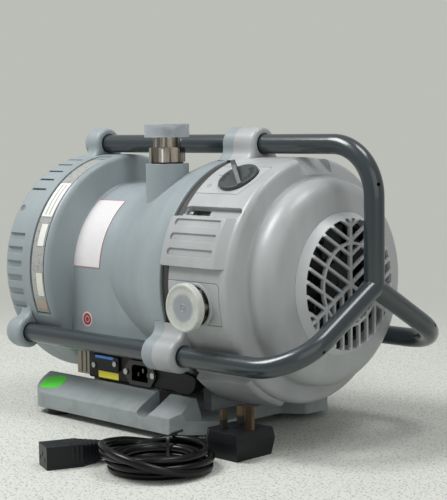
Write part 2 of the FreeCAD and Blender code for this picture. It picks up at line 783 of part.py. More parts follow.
def lower_ledge():
    """Raised pad on the near side of the barrel, below the tube."""
    start, end = LEDGE_SPAN
    root = BARREL_RADIUS - COVER_WALL / 2
    pad = turned([
        (start, root),
        (start, BARREL_RADIUS + LEDGE_RAISE[0], 4),
        (end, BARREL_RADIUS + LEDGE_RAISE[1], 6),
        (end, root),
    ])
    return pad.common(sector(LEDGE_ANGLES, start, end))


def block_recesses():
    """Three shallow recesses with round left ends in the ribbed block."""
    start, end = BLOCK_GROOVE_SPAN
    half = BLOCK_GROOVE_WIDTH / 2
    round_end = half - 0.1
    floor = SHAFT_HEIGHT + BARREL_RADIUS + BLOCK_RAISE - BLOCK_GROOVE_DEPTH
    groove = prism(
        [(start, -half, round_end), (end, -half), (end, half), (start, half, round_end)],
        in_top_view(floor),
        Z_AXIS * (2 * BLOCK_RAISE),
    )
    return [at_angle(groove, angle) for angle in BLOCK_GROOVES]


def slot_outline(grow):
    """Round-ended outline of the screwdriver slot, at the top, grown by a margin."""
    side = SLOT_RADIUS + grow
    return [
        (SLOT_START_X - grow, -side, side - 0.01),
        (SLOT_START_X - grow, side, side - 0.01),
        (SLOT_END_X + grow, side, side - 0.01),
        (SLOT_END_X + grow, -side, side - 0.01),
    ]


def slot_trough(grow, low, high):
    """Upright capsule on the slot's outline between two radii, at the slot's angle."""
    solid = prism(
        slot_outline(grow),
        lambda x, y: Vector(x, y, SHAFT_HEIGHT + low),
        Z_AXIS * (high - low),
    )
    return at_angle(solid, SLOT_ANGLE)


def cowl_screw_angles():
    """Angles of the cowl's screws, one of them inside the screwdriver slot."""
    return [SLOT_ANGLE + 120.0 * step for step in range(3)]


def cowl_screw(gap):
    """Screw along X that holds a cowl tab to the scroll housing, at the top."""
    seat = COWL_START_X + COWL_TAB_THICKNESS
    shank = rod(2.2 + gap, FLANGE_FACE_X - 6, seat, 0, COWL_SCREW_RADIUS)
    head = rod(3.4 + gap, seat, seat + 4, 0, COWL_SCREW_RADIUS)
    return fused([shank, head])


def cowl_tab():
    """Inner tab of the cowl under a screw head, at the top."""
    ring = hoop(
        BARREL_RADIUS - COVER_WALL / 2,
        SCROLL_HOUSING_RADIUS + RUNNING_GAP,
        COWL_START_X,
        COWL_START_X + COWL_TAB_THICKNESS,
    )
    return ring.common(box((0, -8, SHAFT_HEIGHT), (FAR, 8, FAR)))


def ballast_panel_prism(grow):
    """Prism on the outline of the ballast panel, grown by a margin."""
    right = BALLAST_X + 26.0 + grow
    solid = prism(
        [
            (COWL_START_X - 5, -23.5 - grow),
            (BALLAST_X + 16.5 + grow, -23.5 - grow, 4),
            (right, -5.0, 4),
            (right, 20.5 + grow, 3),
            (COWL_START_X - 5, 20.5 + grow),
        ],
        lambda x, y: Vector(x, y, SHAFT_HEIGHT + DRUM_RADIUS),
        Z_AXIS * 60,
    )
    return at_angle(solid, BALLAST_ANGLE)


def exhaust_panel_prism(grow):
    """Prism on the outline of the exhaust panel, grown by a margin."""
    right, low, high = EXHAUST_PANEL
    return prism(
        [
            (COWL_START_X - 5, SHAFT_HEIGHT + low - grow),
            (right + grow, SHAFT_HEIGHT + low - grow, 2),
            (right + grow, SHAFT_HEIGHT + high + grow, 5),
            (COWL_START_X - 5, SHAFT_HEIGHT + high + grow),
        ],
        in_side_view(-FAR),
        Y_AXIS * (FAR - COWL_LIP_RADIUS),
    )


def cowl_shell():
    """Wall of the cowl, before its panels are let in."""
    return cowl_form(0).cut(cowl_form(COVER_WALL))


def cowl():
    """Light grey cowl with lugs, ribbed block, screwdriver slot and panel openings."""
    lip = rod(COWL_LIP_RADIUS, COWL_START_X, COWL_FRONT_X + 5)
    lugs = [
        at_angle(lug(FLANGE_FACE_X, LUG_COWL_END_X, BARREL_RADIUS, LUG_COWL_END_X), angle)
        for angle in TUBE_ANGLES
    ]
    inner = BARREL_RADIUS - COVER_WALL
    trough = slot_trough(2.5, inner - 3.0, BARREL_RADIUS - 0.5)
    trough = trough.common(box((COWL_START_X, -FAR, 0), (FAR, FAR, FAR)))
    tabs = [at_angle(cowl_tab(), angle) for angle in cowl_screw_angles()]
    solid = fused([cowl_shell(), ribbed_block(), lower_ledge(), trough] + lugs + tabs)
    dark_hole = box(
        (SLOT_START_X - SLOT_RADIUS + 4, -4, SHAFT_HEIGHT),
        (SLOT_START_X + 29, 4, FAR),
    ).cut(rod(SCROLL_HOUSING_RADIUS, 0, FAR))
    cuts = [
        lip,
        slot_trough(0, BARREL_RADIUS - SLOT_DEPTH, BARREL_RADIUS + 20),
        at_angle(dark_hole, SLOT_ANGLE).cut(at_angle(cowl_tab(), SLOT_ANGLE)),
        ballast_panel_prism(SEAM),
        exhaust_panel_prism(SEAM),
    ]
    cuts += block_recesses()
    cuts += [at_angle(lug_bore(FLANGE_FACE_X - 1, LUG_COWL_END_X, 1), angle) for angle in TUBE_ANGLES]
    cuts += [at_angle(cowl_screw(SLIP_FIT), angle) for angle in cowl_screw_angles()]
    return solid.cut(cuts)


def cowl_screws():
    """Three screws that hold the cowl."""
    return together([at_angle(cowl_screw(0), angle) for angle in cowl_screw_angles()])


def gap_ring():
    """Dark ring that fills the gap between the body flange and the cowl."""
    ring = hoop(
        BARREL_RADIUS - COVER_WALL + 0.6,
        SCROLL_HOUSING_RADIUS + RUNNING_GAP,
        FLANGE_FACE_X,
        COWL_START_X,
    )
    return ring.cut([at_angle(cowl_screw(SLIP_FIT), angle) for angle in cowl_screw_angles()])


def hexagon(across, start, axis, height):
    """Hexagonal nut body along an axis, one corner pointing along +X or the view's side."""
    radius = across / math.sqrt(3)
    side = X_AXIS if abs(axis.x) < 0.5 else Y_AXIS
    up = axis.cross(side)
    points = []
    for step in range(7):
        turn = math.radians(60 * step)
        points.append(start + side * (radius * math.cos(turn)) + up * (radius * math.sin(turn)))
    return Part.Face(Part.makePolygon(points)).extrude(axis * height)


def port_adaptor(foot, axis, height, spigot):
    """Port adaptor: spigot, hexagon, neck and a flange with a tapered back, bored through."""
    hex_top = foot + axis * PORT_HEX_HEIGHT
    face = foot + axis * height
    taper_start = face - axis * (PORT_FLANGE_THICKNESS + PORT_TAPER)
    flange_start = face - axis * PORT_FLANGE_THICKNESS
    rim = PORT_FLANGE_RADIUS
    pieces = [
        hexagon(PORT_HEX_ACROSS, foot, axis, PORT_HEX_HEIGHT),
        Part.makeCylinder(PORT_NECK_RADIUS, (taper_start - foot).Length, foot, axis),
        Part.makeCone(PORT_NECK_RADIUS, rim, PORT_TAPER, taper_start, axis),
        Part.makeCylinder(rim, PORT_FLANGE_THICKNESS, flange_start, axis),
    ]
    if spigot > 0:
        pieces.append(Part.makeCylinder(INLET_BORE_RADIUS - 0.1, spigot, foot - axis * spigot, axis))
    body = fused(pieces)
    bevel = Part.makeCone(
        PORT_HEX_ACROSS / 2 + 4.5, PORT_HEX_ACROSS / 2 - 0.5, 5.0, hex_top - axis * 3.6, axis)
    keep = fused([
        bevel,
        Part.makeCylinder(rim + 1, PORT_HEX_HEIGHT - 3.6 + spigot, foot - axis * spigot, axis),
        Part.makeCylinder(rim + 1, height - PORT_HEX_HEIGHT + 1, hex_top, axis),
    ])
    bore = Part.makeCylinder(INLET_BORE_RADIUS - 2.5, height + spigot, foot - axis * spigot, axis)
    counterbore = Part.makeCylinder(
        PORT_COUNTERBORE_RADIUS,
        PORT_COUNTERBORE_DEPTH,
        face - axis * PORT_COUNTERBORE_DEPTH,
        axis,
    )
    return body.common(keep).cut([bore, counterbore])


def port_cap(face, axis):
    """Push-on plastic cap over a port flange."""
    top = face + axis * CAP_TOP
    bottom = top - axis * CAP_HEIGHT
    outside = Part.makeCylinder(CAP_RADIUS, CAP_HEIGHT, bottom, axis)
    edges = [edge for edge in outside.Edges if (edge.CenterOfMass - top).Length < 0.01]
    outside = outside.makeFillet(1.6, edges)
    inside = Part.makeCylinder(PORT_FLANGE_RADIUS + RUNNING_GAP, CAP_HEIGHT - CAP_TOP, bottom, axis)
    return outside.cut(inside)


def inlet_foot():
    """Seat of the inlet adaptor, on its seal above the boss."""
    return Vector(INLET_X, INLET_Y, INLET_BOSS_TOP_Z + PORT_SEAL_THICKNESS)


def inlet_adaptor():
    """Inlet port adaptor on the body's boss."""
    foot = inlet_foot()
    return port_adaptor(foot, Z_AXIS, INLET_TOP_Z - foot.z, INLET_SPIGOT)


def inlet_seal():
    """Flat seal ring between the boss and the inlet adaptor."""
    foot = Vector(INLET_X, INLET_Y, INLET_BOSS_TOP_Z)
    ring = Part.makeCylinder(PORT_HEX_ACROSS / 2, PORT_SEAL_THICKNESS, foot)
    return ring.cut(Part.makeCylinder(INLET_BORE_RADIUS, PORT_SEAL_THICKNESS, foot))


def inlet_strainer():
    """Strainer cup on the floor of the inlet bore, below the adaptor's spigot."""
    foot = Vector(INLET_X, INLET_Y, INLET_BORE_FLOOR_Z)
    height = inlet_foot().z - INLET_SPIGOT - INLET_BORE_FLOOR_Z
    cup = Part.makeCylinder(INLET_BORE_RADIUS - 0.3, height, foot)
    hollow = Part.makeCylinder(INLET_BORE_RADIUS - 1.5, height, foot + Z_AXIS * 1.2)
    hole = Part.makeCylinder(0.9, height, foot)
    mesh = []
    for ring, count in ((0.0, 1), (3.5, 6), (7.0, 12)):
        for step in range(count):
            turn = 2 * math.pi * step / count
            mesh.append(hole.translated(Vector(ring * math.cos(turn), ring * math.sin(turn), 0)))
    return cup.cut([hollow] + mesh)


def inlet_cap():
    """Cap on the inlet port."""
    return port_cap(Vector(INLET_X, INLET_Y, INLET_TOP_Z), Z_AXIS)


def exhaust_seat():
    """Point where the exhaust adaptor's spigot meets the scroll housing's flat."""
    return Vector(EXHAUST_X, -SCROLL_HOUSING_RADIUS + EXHAUST_SEAT_DEPTH, EXHAUST_Z)


def exhaust_flat():
    """Block that cuts the exhaust adaptor's flat seat into the scroll castings."""
    half = EXHAUST_SEAT_HALF
    return box(
        (EXHAUST_X - half, -SCROLL_HOUSING_RADIUS - 1, EXHAUST_Z - half),
        (EXHAUST_X + half, exhaust_seat().y, EXHAUST_Z + half),
    )


def exhaust_adaptor():
    """Exhaust port adaptor, which points to the near side."""
    hex_foot = Vector(EXHAUST_X, -BARREL_RADIUS + COVER_WALL, EXHAUST_Z)
    spigot = (exhaust_seat() - hex_foot).Length
    return port_adaptor(hex_foot, -Y_AXIS, -EXHAUST_FLANGE_Y + hex_foot.y, spigot)


def exhaust_cap():
    """Cap on the exhaust port."""
    return port_cap(Vector(EXHAUST_X, EXHAUST_FLANGE_Y, EXHAUST_Z), -Y_AXIS)


def exhaust_valve():
    """Valve disc and stem inside the exhaust adaptor's bore."""
    foot = exhaust_seat()
    stem = Part.makeCylinder(2.0, 10.0, foot, -Y_AXIS)
    disc = Part.makeCylinder(INLET_BORE_RADIUS - 2.8, 2.0, foot - Y_AXIS * 10.0, -Y_AXIS)
    return fused([stem, disc])


def exhaust_panel():
    """Flush panel round the exhaust port, with a rolled collar round its hole."""
    wall = cowl_shell().common(exhaust_panel_prism(0))
    face_y = -BARREL_RADIUS + 0.5
    centre = Vector(EXHAUST_X, face_y, EXHAUST_Z)
    collar = Part.makeCylinder(EXHAUST_COLLAR_RADIUS, 2.6, centre + Y_AXIS * 1.6, -Y_AXIS)
    edges = [edge for edge in collar.Edges if edge.CenterOfMass.y < face_y - 0.5]
    collar = collar.makeFillet(0.9, edges)
    hole = Part.makeCylinder(EXHAUST_HOLE_RADIUS, 30, centre + Y_AXIS * 15, -Y_AXIS)
    return fused([wall, collar.common(exhaust_panel_prism(0))]).cut(hole)


def ballast_panel():
    """Flush panel that carries the gas ballast knob, with a flat seat under it."""
    wall = cowl_shell().common(ballast_panel_prism(0))
    seat = Part.makeCylinder(
        KNOB_RADIUS + 1.0, 20, Vector(BALLAST_X, 0, SHAFT_HEIGHT + KNOB_SEAT_RADIUS))
    hole = Part.makeCylinder(
        BALLAST_VALVE_RADIUS + 0.3, 60, Vector(BALLAST_X, 0, SHAFT_HEIGHT + DRUM_RADIUS))
    return wall.cut([at_angle(seat, BALLAST_ANGLE), at_angle(hole, BALLAST_ANGLE)])


def ballast_knob():
    """Gas ballast knob: a disc with a raised finger blade across it."""
    seat = SHAFT_HEIGHT + KNOB_SEAT_RADIUS + RUNNING_GAP
    disc = Part.makeCylinder(KNOB_RADIUS, KNOB_THICKNESS, Vector(BALLAST_X, 0, seat))
    top = [edge for edge in disc.Edges if abs(edge.CenterOfMass.z - seat - KNOB_THICKNESS) < 0.01]
    disc = disc.makeFillet(1.2, top)
    reach = KNOB_RADIUS - 0.8
    deck = seat + KNOB_THICKNESS
    blade = prism(
        [
            (-reach, deck - 1.5),
            (-reach, deck + KNOB_FIN_HEIGHT, 2.5),
            (-reach / 3, deck + KNOB_FIN_HEIGHT, 6),
            (reach, deck + 0.6, 0.5),
            (reach, deck - 1.5),
        ],
        lambda u, z: Vector(BALLAST_X - KNOB_FIN_THICKNESS / 2, -u, z),
        X_AXIS * KNOB_FIN_THICKNESS,
    )
    blade.rotate(Vector(BALLAST_X, 0, 0), Z_AXIS, KNOB_FIN_TURN)
    return at_angle(fused([disc, blade]), BALLAST_ANGLE)


def ballast_valve():
    """Gas ballast valve body between the scroll housing and the knob."""
    low = SCROLL_HOUSING_RADIUS
    height = KNOB_SEAT_RADIUS - low
    body = Part.makeCylinder(BALLAST_VALVE_RADIUS, height, Vector(BALLAST_X, 0, SHAFT_HEIGHT + low))
    return at_angle(body, BALLAST_ANGLE).cut(rod(SCROLL_HOUSING_RADIUS, 0, FAR))


def end_shield():
    """Rear bearing plate of the motor, on the end of the sleeve."""
    start, end, radius = REAR_BEARING
    face_x = MOTOR_START_X - END_SHIELD_THICKNESS
    return turned([
        (start, radius),
        (start, radius + 5),
        (face_x, radius + 9, 3),
        (face_x, MOTOR_SLEEVE_RADIUS),
        (MOTOR_START_X, MOTOR_SLEEVE_RADIUS),
        (MOTOR_START_X, REAR_JOURNAL_RADIUS + 4),
        (end, REAR_JOURNAL_RADIUS + 4),
        (end, radius),
    ])


def bearing(span, bore, y=0.0, z=0.0):
    """Ball bearing as one plain ring with a groove between its races."""
    start, end, outer = span
    ring = hoop(outer, bore, start, end, y, z)
    middle = (outer + bore) / 2
    groove = hoop(middle + 1.5, middle - 1.5, end - 1.5, end + 1, y, z)
    return ring.cut(groove)


def scroll_housing_bolts(as_holes):
    """Screws that hold the scroll housing's flange to the body's lip."""
    radius = 2.1 if as_holes else 2.0
    flange = SCROLL_HOUSING_RADIUS + 3.0
    shapes = []
    for step in range(6):
        angle = 60.0 * step
        screw = rod(radius, FLANGE_FACE_X - 12, FLANGE_FACE_X - 1, 0, flange)
        shapes.append(at_angle(screw, angle))
    return shapes


def scroll_housing():
    """Bell-shaped casting: front bearing seat, cone, chamber wall and flange."""
    start, end, bearing_radius = FRONT_BEARING
    lip_x = FLANGE_FACE_X - LIP_DEPTH
    chamber_x = ORBITING_PLATE[0] - 4.0
    solid = turned([
        (MOTOR_END_X, FRONT_JOURNAL_RADIUS + 6),
        (MOTOR_END_X, CONE_REAR_RADIUS, 3),
        (lip_x - 10, CONE_FRONT_RADIUS),
        (lip_x, CONE_FRONT_RADIUS),
        (lip_x, SCROLL_HOUSING_RADIUS + 5.7),
        (FLANGE_FACE_X, SCROLL_HOUSING_RADIUS + 5.7),
        (FLANGE_FACE_X, SCROLL_HOUSING_RADIUS),
        (FIXED_PLATE_X, SCROLL_HOUSING_RADIUS),
        (FIXED_PLATE_X, SCROLL_CHAMBER_RADIUS),
        (chamber_x - 20, SCROLL_CHAMBER_RADIUS, 6),
        (start + 8, MOTOR_SLEEVE_RADIUS - 6, 6),
        (start + 8, bearing_radius + 8),
        (end, bearing_radius + 8),
        (end, bearing_radius),
        (start, bearing_radius),
        (start, FRONT_JOURNAL_RADIUS + 6),
    ])
    groove = hoop(SCROLL_CHAMBER_RADIUS + 4, SCROLL_CHAMBER_RADIUS + 1.5, FIXED_PLATE_X - 2, FIXED_PLATE_X)
    cuts = [groove, exhaust_flat(), inlet_duct()] + foot_bolt_holes() + scroll_housing_bolts(True)
    cuts += [at_angle(cowl_screw(SLIP_FIT), angle) for angle in cowl_screw_angles()]
    cuts += [at_angle(fixed_screw(SLIP_FIT), angle) for angle in fixed_screw_angles()]
    return solid.cut(cuts)


def housing_seal():
    """Seal ring in the housing's end face."""
    return hoop(
        SCROLL_CHAMBER_RADIUS + 3.9,
        SCROLL_CHAMBER_RADIUS + 1.6,
        FIXED_PLATE_X - 2,
        FIXED_PLATE_X,
    )


def spiral_point(roll, offset):
    """Point beside the middle line of an involute wall, moved outward by an offset."""
    base = WALL_PITCH / (2 * math.pi)
    reach = base * roll + offset
    return Vector(
        base * math.cos(roll) + reach * math.sin(roll),
        base * math.sin(roll) - reach * math.cos(roll),
        0,
    )


def spiral_wall(width, first, last, start_x, height, turn, lift):
    """Spiral wall of even width along an involute, from one roll angle to another."""
    steps = max(12, int((last - first) / 0.35))
    place = in_end_view(start_x)

    def side(offset):
        points = []
        for step in range(steps + 1):
            p = spiral_point(first + (last - first) * step / steps, offset)
            points.append(place(
                p.x * math.cos(turn) - p.y * math.sin(turn),
                lift + p.x * math.sin(turn) + p.y * math.cos(turn),
            ))
        curve = Part.BSplineCurve()
        curve.interpolate(points)
        return curve.toShape(), points

    outer, outer_points = side(width / 2)
    inner, inner_points = side(-width / 2)
    wire = Part.Wire([
        outer,
        Part.makeLine(outer_points[-1], inner_points[-1]),
        inner,
        Part.makeLine(inner_points[0], outer_points[0]),
    ])
    return Part.Face(wire).extrude(X_AXIS * height)


def wall_reach(radius):
    """Roll angle at which an involute wall reaches a radius."""
    return radius / (WALL_PITCH / (2 * math.pi))


FIRST_ROLL = 3.6


def orbiting_scroll():
    """Orbiting scroll: plate, hub for the crank bearing and spiral wall, at its rest place."""
    start, end, radius = ORBITING_PLATE
    plate = rod(radius, start, end, 0, ORBIT_RADIUS)
    hub = rod(CRANK_BEARING[2] + 6, CRANK_BEARING[0] - 2, start, 0, ORBIT_RADIUS)
    height = FIXED_PLATE_X - end - TIP_GAP - SEAL_HEIGHT
    last = wall_reach(radius - WALL_THICKNESS)
    wall = spiral_wall(WALL_THICKNESS, FIRST_ROLL, last, end, height, 0.0, ORBIT_RADIUS)
    bore = rod(CRANK_BEARING[2], CRANK_BEARING[0] - 3, CRANK_BEARING[1], 0, ORBIT_RADIUS)
    relief = rod(CRANK_PIN_RADIUS + 3, CRANK_BEARING[1], start + 2, 0, ORBIT_RADIUS)
    return fused([plate, hub, wall]).cut([bore, relief])


def orbiting_tip_seal():
    """Spiral seal strip on the tip of the orbiting wall."""
    radius = ORBITING_PLATE[2]
    x = FIXED_PLATE_X - TIP_GAP - SEAL_HEIGHT
    last = wall_reach(radius - WALL_THICKNESS)
    return spiral_wall(
        SEAL_WIDTH, FIRST_ROLL + 0.6, last - 0.1, x, SEAL_HEIGHT + TIP_GAP - 0.2, 0.0, ORBIT_RADIUS)


def fixed_wall_last():
    """Roll angle at the outer end of the fixed wall."""
    return wall_reach(SCROLL_CHAMBER_RADIUS - WALL_THICKNESS)


def fixed_screw_angles():
    """Angles of the screws that hold the fixed scroll."""
    return [15.0 + 60.0 * step for step in range(6)]


def fixed_screw(gap):
    """Screw that holds the fixed scroll to the housing, at the top."""
    middle = (SCROLL_HOUSING_RADIUS + SCROLL_CHAMBER_RADIUS + 4) / 2
    back = FIXED_PLATE_BACK_X
    shank = rod(1.6 + gap, FIXED_PLATE_X - 12, back, 0, middle)
    head = rod(3.0 + gap, back, back + 3, 0, middle)
    return fused([shank, head])


def fixed_scroll():
    """Fixed scroll: plate and spiral wall, with upright cooling fins on its back."""
    back = FIXED_PLATE_BACK_X
    wall_x = ORBITING_PLATE[1] + TIP_GAP + SEAL_HEIGHT
    plate = rod(SCROLL_HOUSING_RADIUS, FIXED_PLATE_X, back)
    wall = spiral_wall(
        WALL_THICKNESS, FIRST_ROLL, fixed_wall_last(), wall_x, FIXED_PLATE_X - wall_x, math.pi, 0.0)
    fin_limit = rod(SCROLL_CHAMBER_RADIUS - 4, back, back + FIN_HEIGHT)
    fins = []
    count = int((SCROLL_CHAMBER_RADIUS - 12) / FIN_PITCH)
    for step in range(-count, count + 1):
        fin = box(
            (back - 1, step * FIN_PITCH - FIN_THICKNESS / 2, 0),
            (back + FIN_HEIGHT, step * FIN_PITCH + FIN_THICKNESS / 2, FAR),
        )
        fins.append(fin.common(fin_limit))
    cuts = [exhaust_flat()] + [at_angle(fixed_screw(SLIP_FIT), angle) for angle in fixed_screw_angles()]
    return fused([plate, wall] + fins).cut(cuts)


def fixed_tip_seal():
    """Spiral seal strip on the tip of the fixed wall."""
    x = ORBITING_PLATE[1] + 0.2
    wall_x = ORBITING_PLATE[1] + TIP_GAP + SEAL_HEIGHT
    return spiral_wall(
        SEAL_WIDTH, FIRST_ROLL + 0.6, fixed_wall_last() - 0.1, x, wall_x - x, math.pi, 0.0)


def fixed_scroll_screws():
    """Six screws that hold the fixed scroll to the housing."""
    return together([at_angle(fixed_screw(0), angle) for angle in fixed_screw_angles()])


def crankshaft():
    """Stepped motor shaft with an eccentric pin at its front end."""
    pin_root = FRONT_BEARING[1] + 10
    return fused([
        rod(REAR_JOURNAL_RADIUS, REAR_BEARING[0] - 3, STATOR_START_X),
        rod(SHAFT_RADIUS, MOTOR_START_X + 2, FRONT_BEARING[0]),
        rod(FRONT_JOURNAL_RADIUS, FRONT_BEARING[0], FRONT_BEARING[1]),
        rod(FRONT_JOURNAL_RADIUS + 4, FRONT_BEARING[1], pin_root),
        rod(FRONT_JOURNAL_RADIUS, pin_root, CRANK_BEARING[0] - 6),
        rod(CRANK_PIN_RADIUS, CRANK_BEARING[0] - 7, CRANK_BEARING[1] + 1, 0, ORBIT_RADIUS),
    ])


def counterweight(start_x, end_x, inner, outer, side):
    """Half-round balance weight on the shaft, below it for side -1, above it for side 1."""
    ring = hoop(outer, inner, start_x, end_x)
    low = 0.0 if side < 0 else SHAFT_HEIGHT
    half = box((start_x, -FAR, low), (end_x, FAR, low + SHAFT_HEIGHT))
    collar = hoop(inner + 4, inner, start_x, end_x)
    return fused([ring.common(half), collar])


def front_counterweight():
    """Balance weight opposite the eccentric pin."""
    start = FRONT_BEARING[1] + 12
    return counterweight(start, start + 22, FRONT_JOURNAL_RADIUS, CRANK_BEARING[2] + 8, -1)


def rear_counterweight():
    """Balance weight at the rear of the rotor."""
    return counterweight(MOTOR_START_X + 2.5, STATOR_START_X - 1, SHAFT_RADIUS, STATOR_BORE - 4, 1)


def motor_rotor():
    """Laminated rotor with its end rings."""
    return fused([
        hoop(STATOR_BORE - 0.6, SHAFT_RADIUS, STATOR_START_X, STATOR_END_X),
        hoop(STATOR_BORE - 6, SHAFT_RADIUS, STATOR_START_X - 0.5, STATOR_END_X + 6),
    ])


def motor_stator():
    """Stator stack in the motor sleeve."""
    return hoop(STATOR_RADIUS, STATOR_BORE, STATOR_START_X, STATOR_END_X)


def motor_windings():
    """Winding heads at both ends of the stator."""
    rear = hoop(STATOR_RADIUS - 5, STATOR_BORE + 4, MOTOR_START_X + 1, STATOR_START_X)
    front = hoop(STATOR_RADIUS - 5, STATOR_BORE + 4, STATOR_END_X, MOTOR_END_X - 1)
    return together([rear, front])


def bellows():
    """Metal bellows round the crank, between the housing web and the orbiting scroll."""
    start = FRONT_BEARING[0] + 8
    end = ORBITING_PLATE[0] - RUNNING_GAP
    waves = 5
    inner = FRONT_BEARING[2] + 12
    outline = [(start, inner + 2)]
    step = (end - start) / waves
    for wave in range(waves):
        outline.append((start + step * (wave + 0.5), inner + 12))
        outline.append((start + step * (wave + 1), inner + 2))
    outline.append((end, inner))
    for wave in reversed(range(waves)):
        outline.append((start + step * (wave + 0.5), inner + 10))
        outline.append((start + step * wave, inner))
    return turned(outline)


def fan_frame():
    """Fan frame: shroud, four struts, motor cup and pin."""
    rear = FAN_START_X - 6
    seat_x = COWL_FRONT_X - 6.4
    shroud = hoop(FAN_TIP_RADIUS + 5, FAN_TIP_RADIUS + 2, rear, seat_x)
    rim = hoop(COWL_LIP_RADIUS - 0.2, FAN_TIP_RADIUS + 2, seat_x - 2.5, seat_x)
    cup = rod(FAN_HUB_RADIUS + 2, rear, rear + 5)
    pin = rod(FAN_PIN_RADIUS, rear, FAN_END_X - 1)
    strut = box(
        (rear, -3, SHAFT_HEIGHT + FAN_HUB_RADIUS),
        (rear + 3, 3, SHAFT_HEIGHT + FAN_TIP_RADIUS + 3),
    )
    struts = [at_angle(strut, 45 + 90 * step) for step in range(4)]
    return fused([shroud, rim, cup, pin] + struts)


def fan_blade():
    """Twisted fan blade at the top, ruled from root to tip."""
    middle = (FAN_START_X + FAN_END_X) / 2

    def section(radius, chord, pitch):
        along = Vector(math.cos(pitch), math.sin(pitch), 0) * (chord / 2)
        across = Vector(-math.sin(pitch), math.cos(pitch), 0) * 0.9
        centre = Vector(middle, 0, SHAFT_HEIGHT + radius)
        corners = [along + across, across - along, Vector() - along - across, along - across]
        return Part.makePolygon([centre + c for c in corners + corners[:1]])

    root = section(FAN_HUB_RADIUS - 1.5, 12.5, math.radians(42))
    tip = section(FAN_TIP_RADIUS, 20.0, math.radians(62))
    return Part.makeLoft([root, tip], True, True)


def cooling_fan():
    """Seven-bladed axial fan that draws air in through the grille."""
    hub = rod(FAN_HUB_RADIUS, FAN_START_X, FAN_END_X)
    blades = [at_angle(fan_blade(), 90 + 360 * step / FAN_BLADES) for step in range(FAN_BLADES)]
    return fused([hub] + blades).cut(rod(FAN_PIN_RADIUS + SHAFT_FIT, 0, FAR))


def grille_openings():
    """Faces of the holes between the grille's spokes, ring and slanted bars."""
    place = in_end_view(GRILLE_FRONT_X - GRILLE_THICKNESS)

    def strip(offset, start, end, width):
        low = offset - width / 2
        high = offset + width / 2
        return Part.Face(rounded_wire([(start, low), (end, low), (end, high), (start, high)], place))

    def disc(radius):
        return Part.Face(Part.Wire(Part.makeCircle(radius, place(0, 0), X_AXIS)))

    def swung(face, angle):
        copy = face.copy()
        copy.rotate(AXIS_POINT, X_AXIS, angle)
        return copy

    reach = GRILLE_RADIUS * 2
    spread = reach * math.tan(math.radians(60))
    third = Part.Face(rounded_wire([(0, 0), (reach, spread), (reach, -spread)], place))
    count = int(GRILLE_RADIUS / GRILLE_PITCH)
    bars = [
        strip(GRILLE_PITCH * step, 0, reach, GRILLE_BAR).common(third) for step in range(-count, count + 1)
    ]
    spokes = [swung(strip(0, 0, reach, GRILLE_BAR + 0.6), angle) for angle in (-60, 60)]
    ring = disc(GRILLE_RING_RADIUS + GRILLE_BAR / 2).cut(disc(GRILLE_RING_RADIUS - GRILLE_BAR / 2))
    cells = disc(GRILLE_RADIUS).common(third).cut(bars + spokes + [ring])
    openings = []
    for face in cells.Faces:
        if face.Area < 4:
            continue
        shrunk = face.makeOffset2D(-GRILLE_CORNER)
        if not shrunk.Faces:
            openings.append(face)
            continue
        openings += shrunk.makeOffset2D(GRILLE_CORNER).Faces
    return [swung(face, angle) for angle in (30, 150, 270) for face in openings]


def grille():
    """Bezel and grille in one casting, three-fold, with parallel slanted bars in each sector."""
    back = GRILLE_FRONT_X - GRILLE_THICKNESS
    plate = turned([
        (back, 0),
        (GRILLE_FRONT_X, 0),
        (GRILLE_FRONT_X, GRILLE_RADIUS - 1.0),
        (GRILLE_RIM_X, GRILLE_RADIUS + 0.8, 0.6),
        (COWL_FRONT_X, GRILLE_BEZEL_RADIUS),
        (COWL_FRONT_X, COWL_LIP_RADIUS - 0.1),
        (COWL_FRONT_X - 6.2, COWL_LIP_RADIUS - 0.1),
        (COWL_FRONT_X - 6.2, GRILLE_RADIUS - 0.3),
        (back, GRILLE_RADIUS - 0.3),
    ])
    holes = [face.extrude(X_AXIS * (GRILLE_THICKNESS * 2)) for face in grille_openings()]
    return plate.cut(holes)


def foot_outline():
    """Plan outline of the foot, symmetric about the shaft."""
    near = [
        (FOOT_REAR_X, -FOOT_HALF_WIDTH, FOOT_REAR_CORNER),
        (FOOT_SIDE_END_X, -FOOT_HALF_WIDTH, 2),
        (FOOT_FRONT_X - 11, -FOOT_HALF_WIDTH + 23, 2),
        (FOOT_FRONT_X, -FOOT_HALF_WIDTH + 36, 3),
        (FOOT_FRONT_X, -45, 6),
        (FOOT_FRONT_X - 24, -30, 8),
    ]
    far = [(x, -y, r) for x, y, r in reversed(near)]
    return near + far


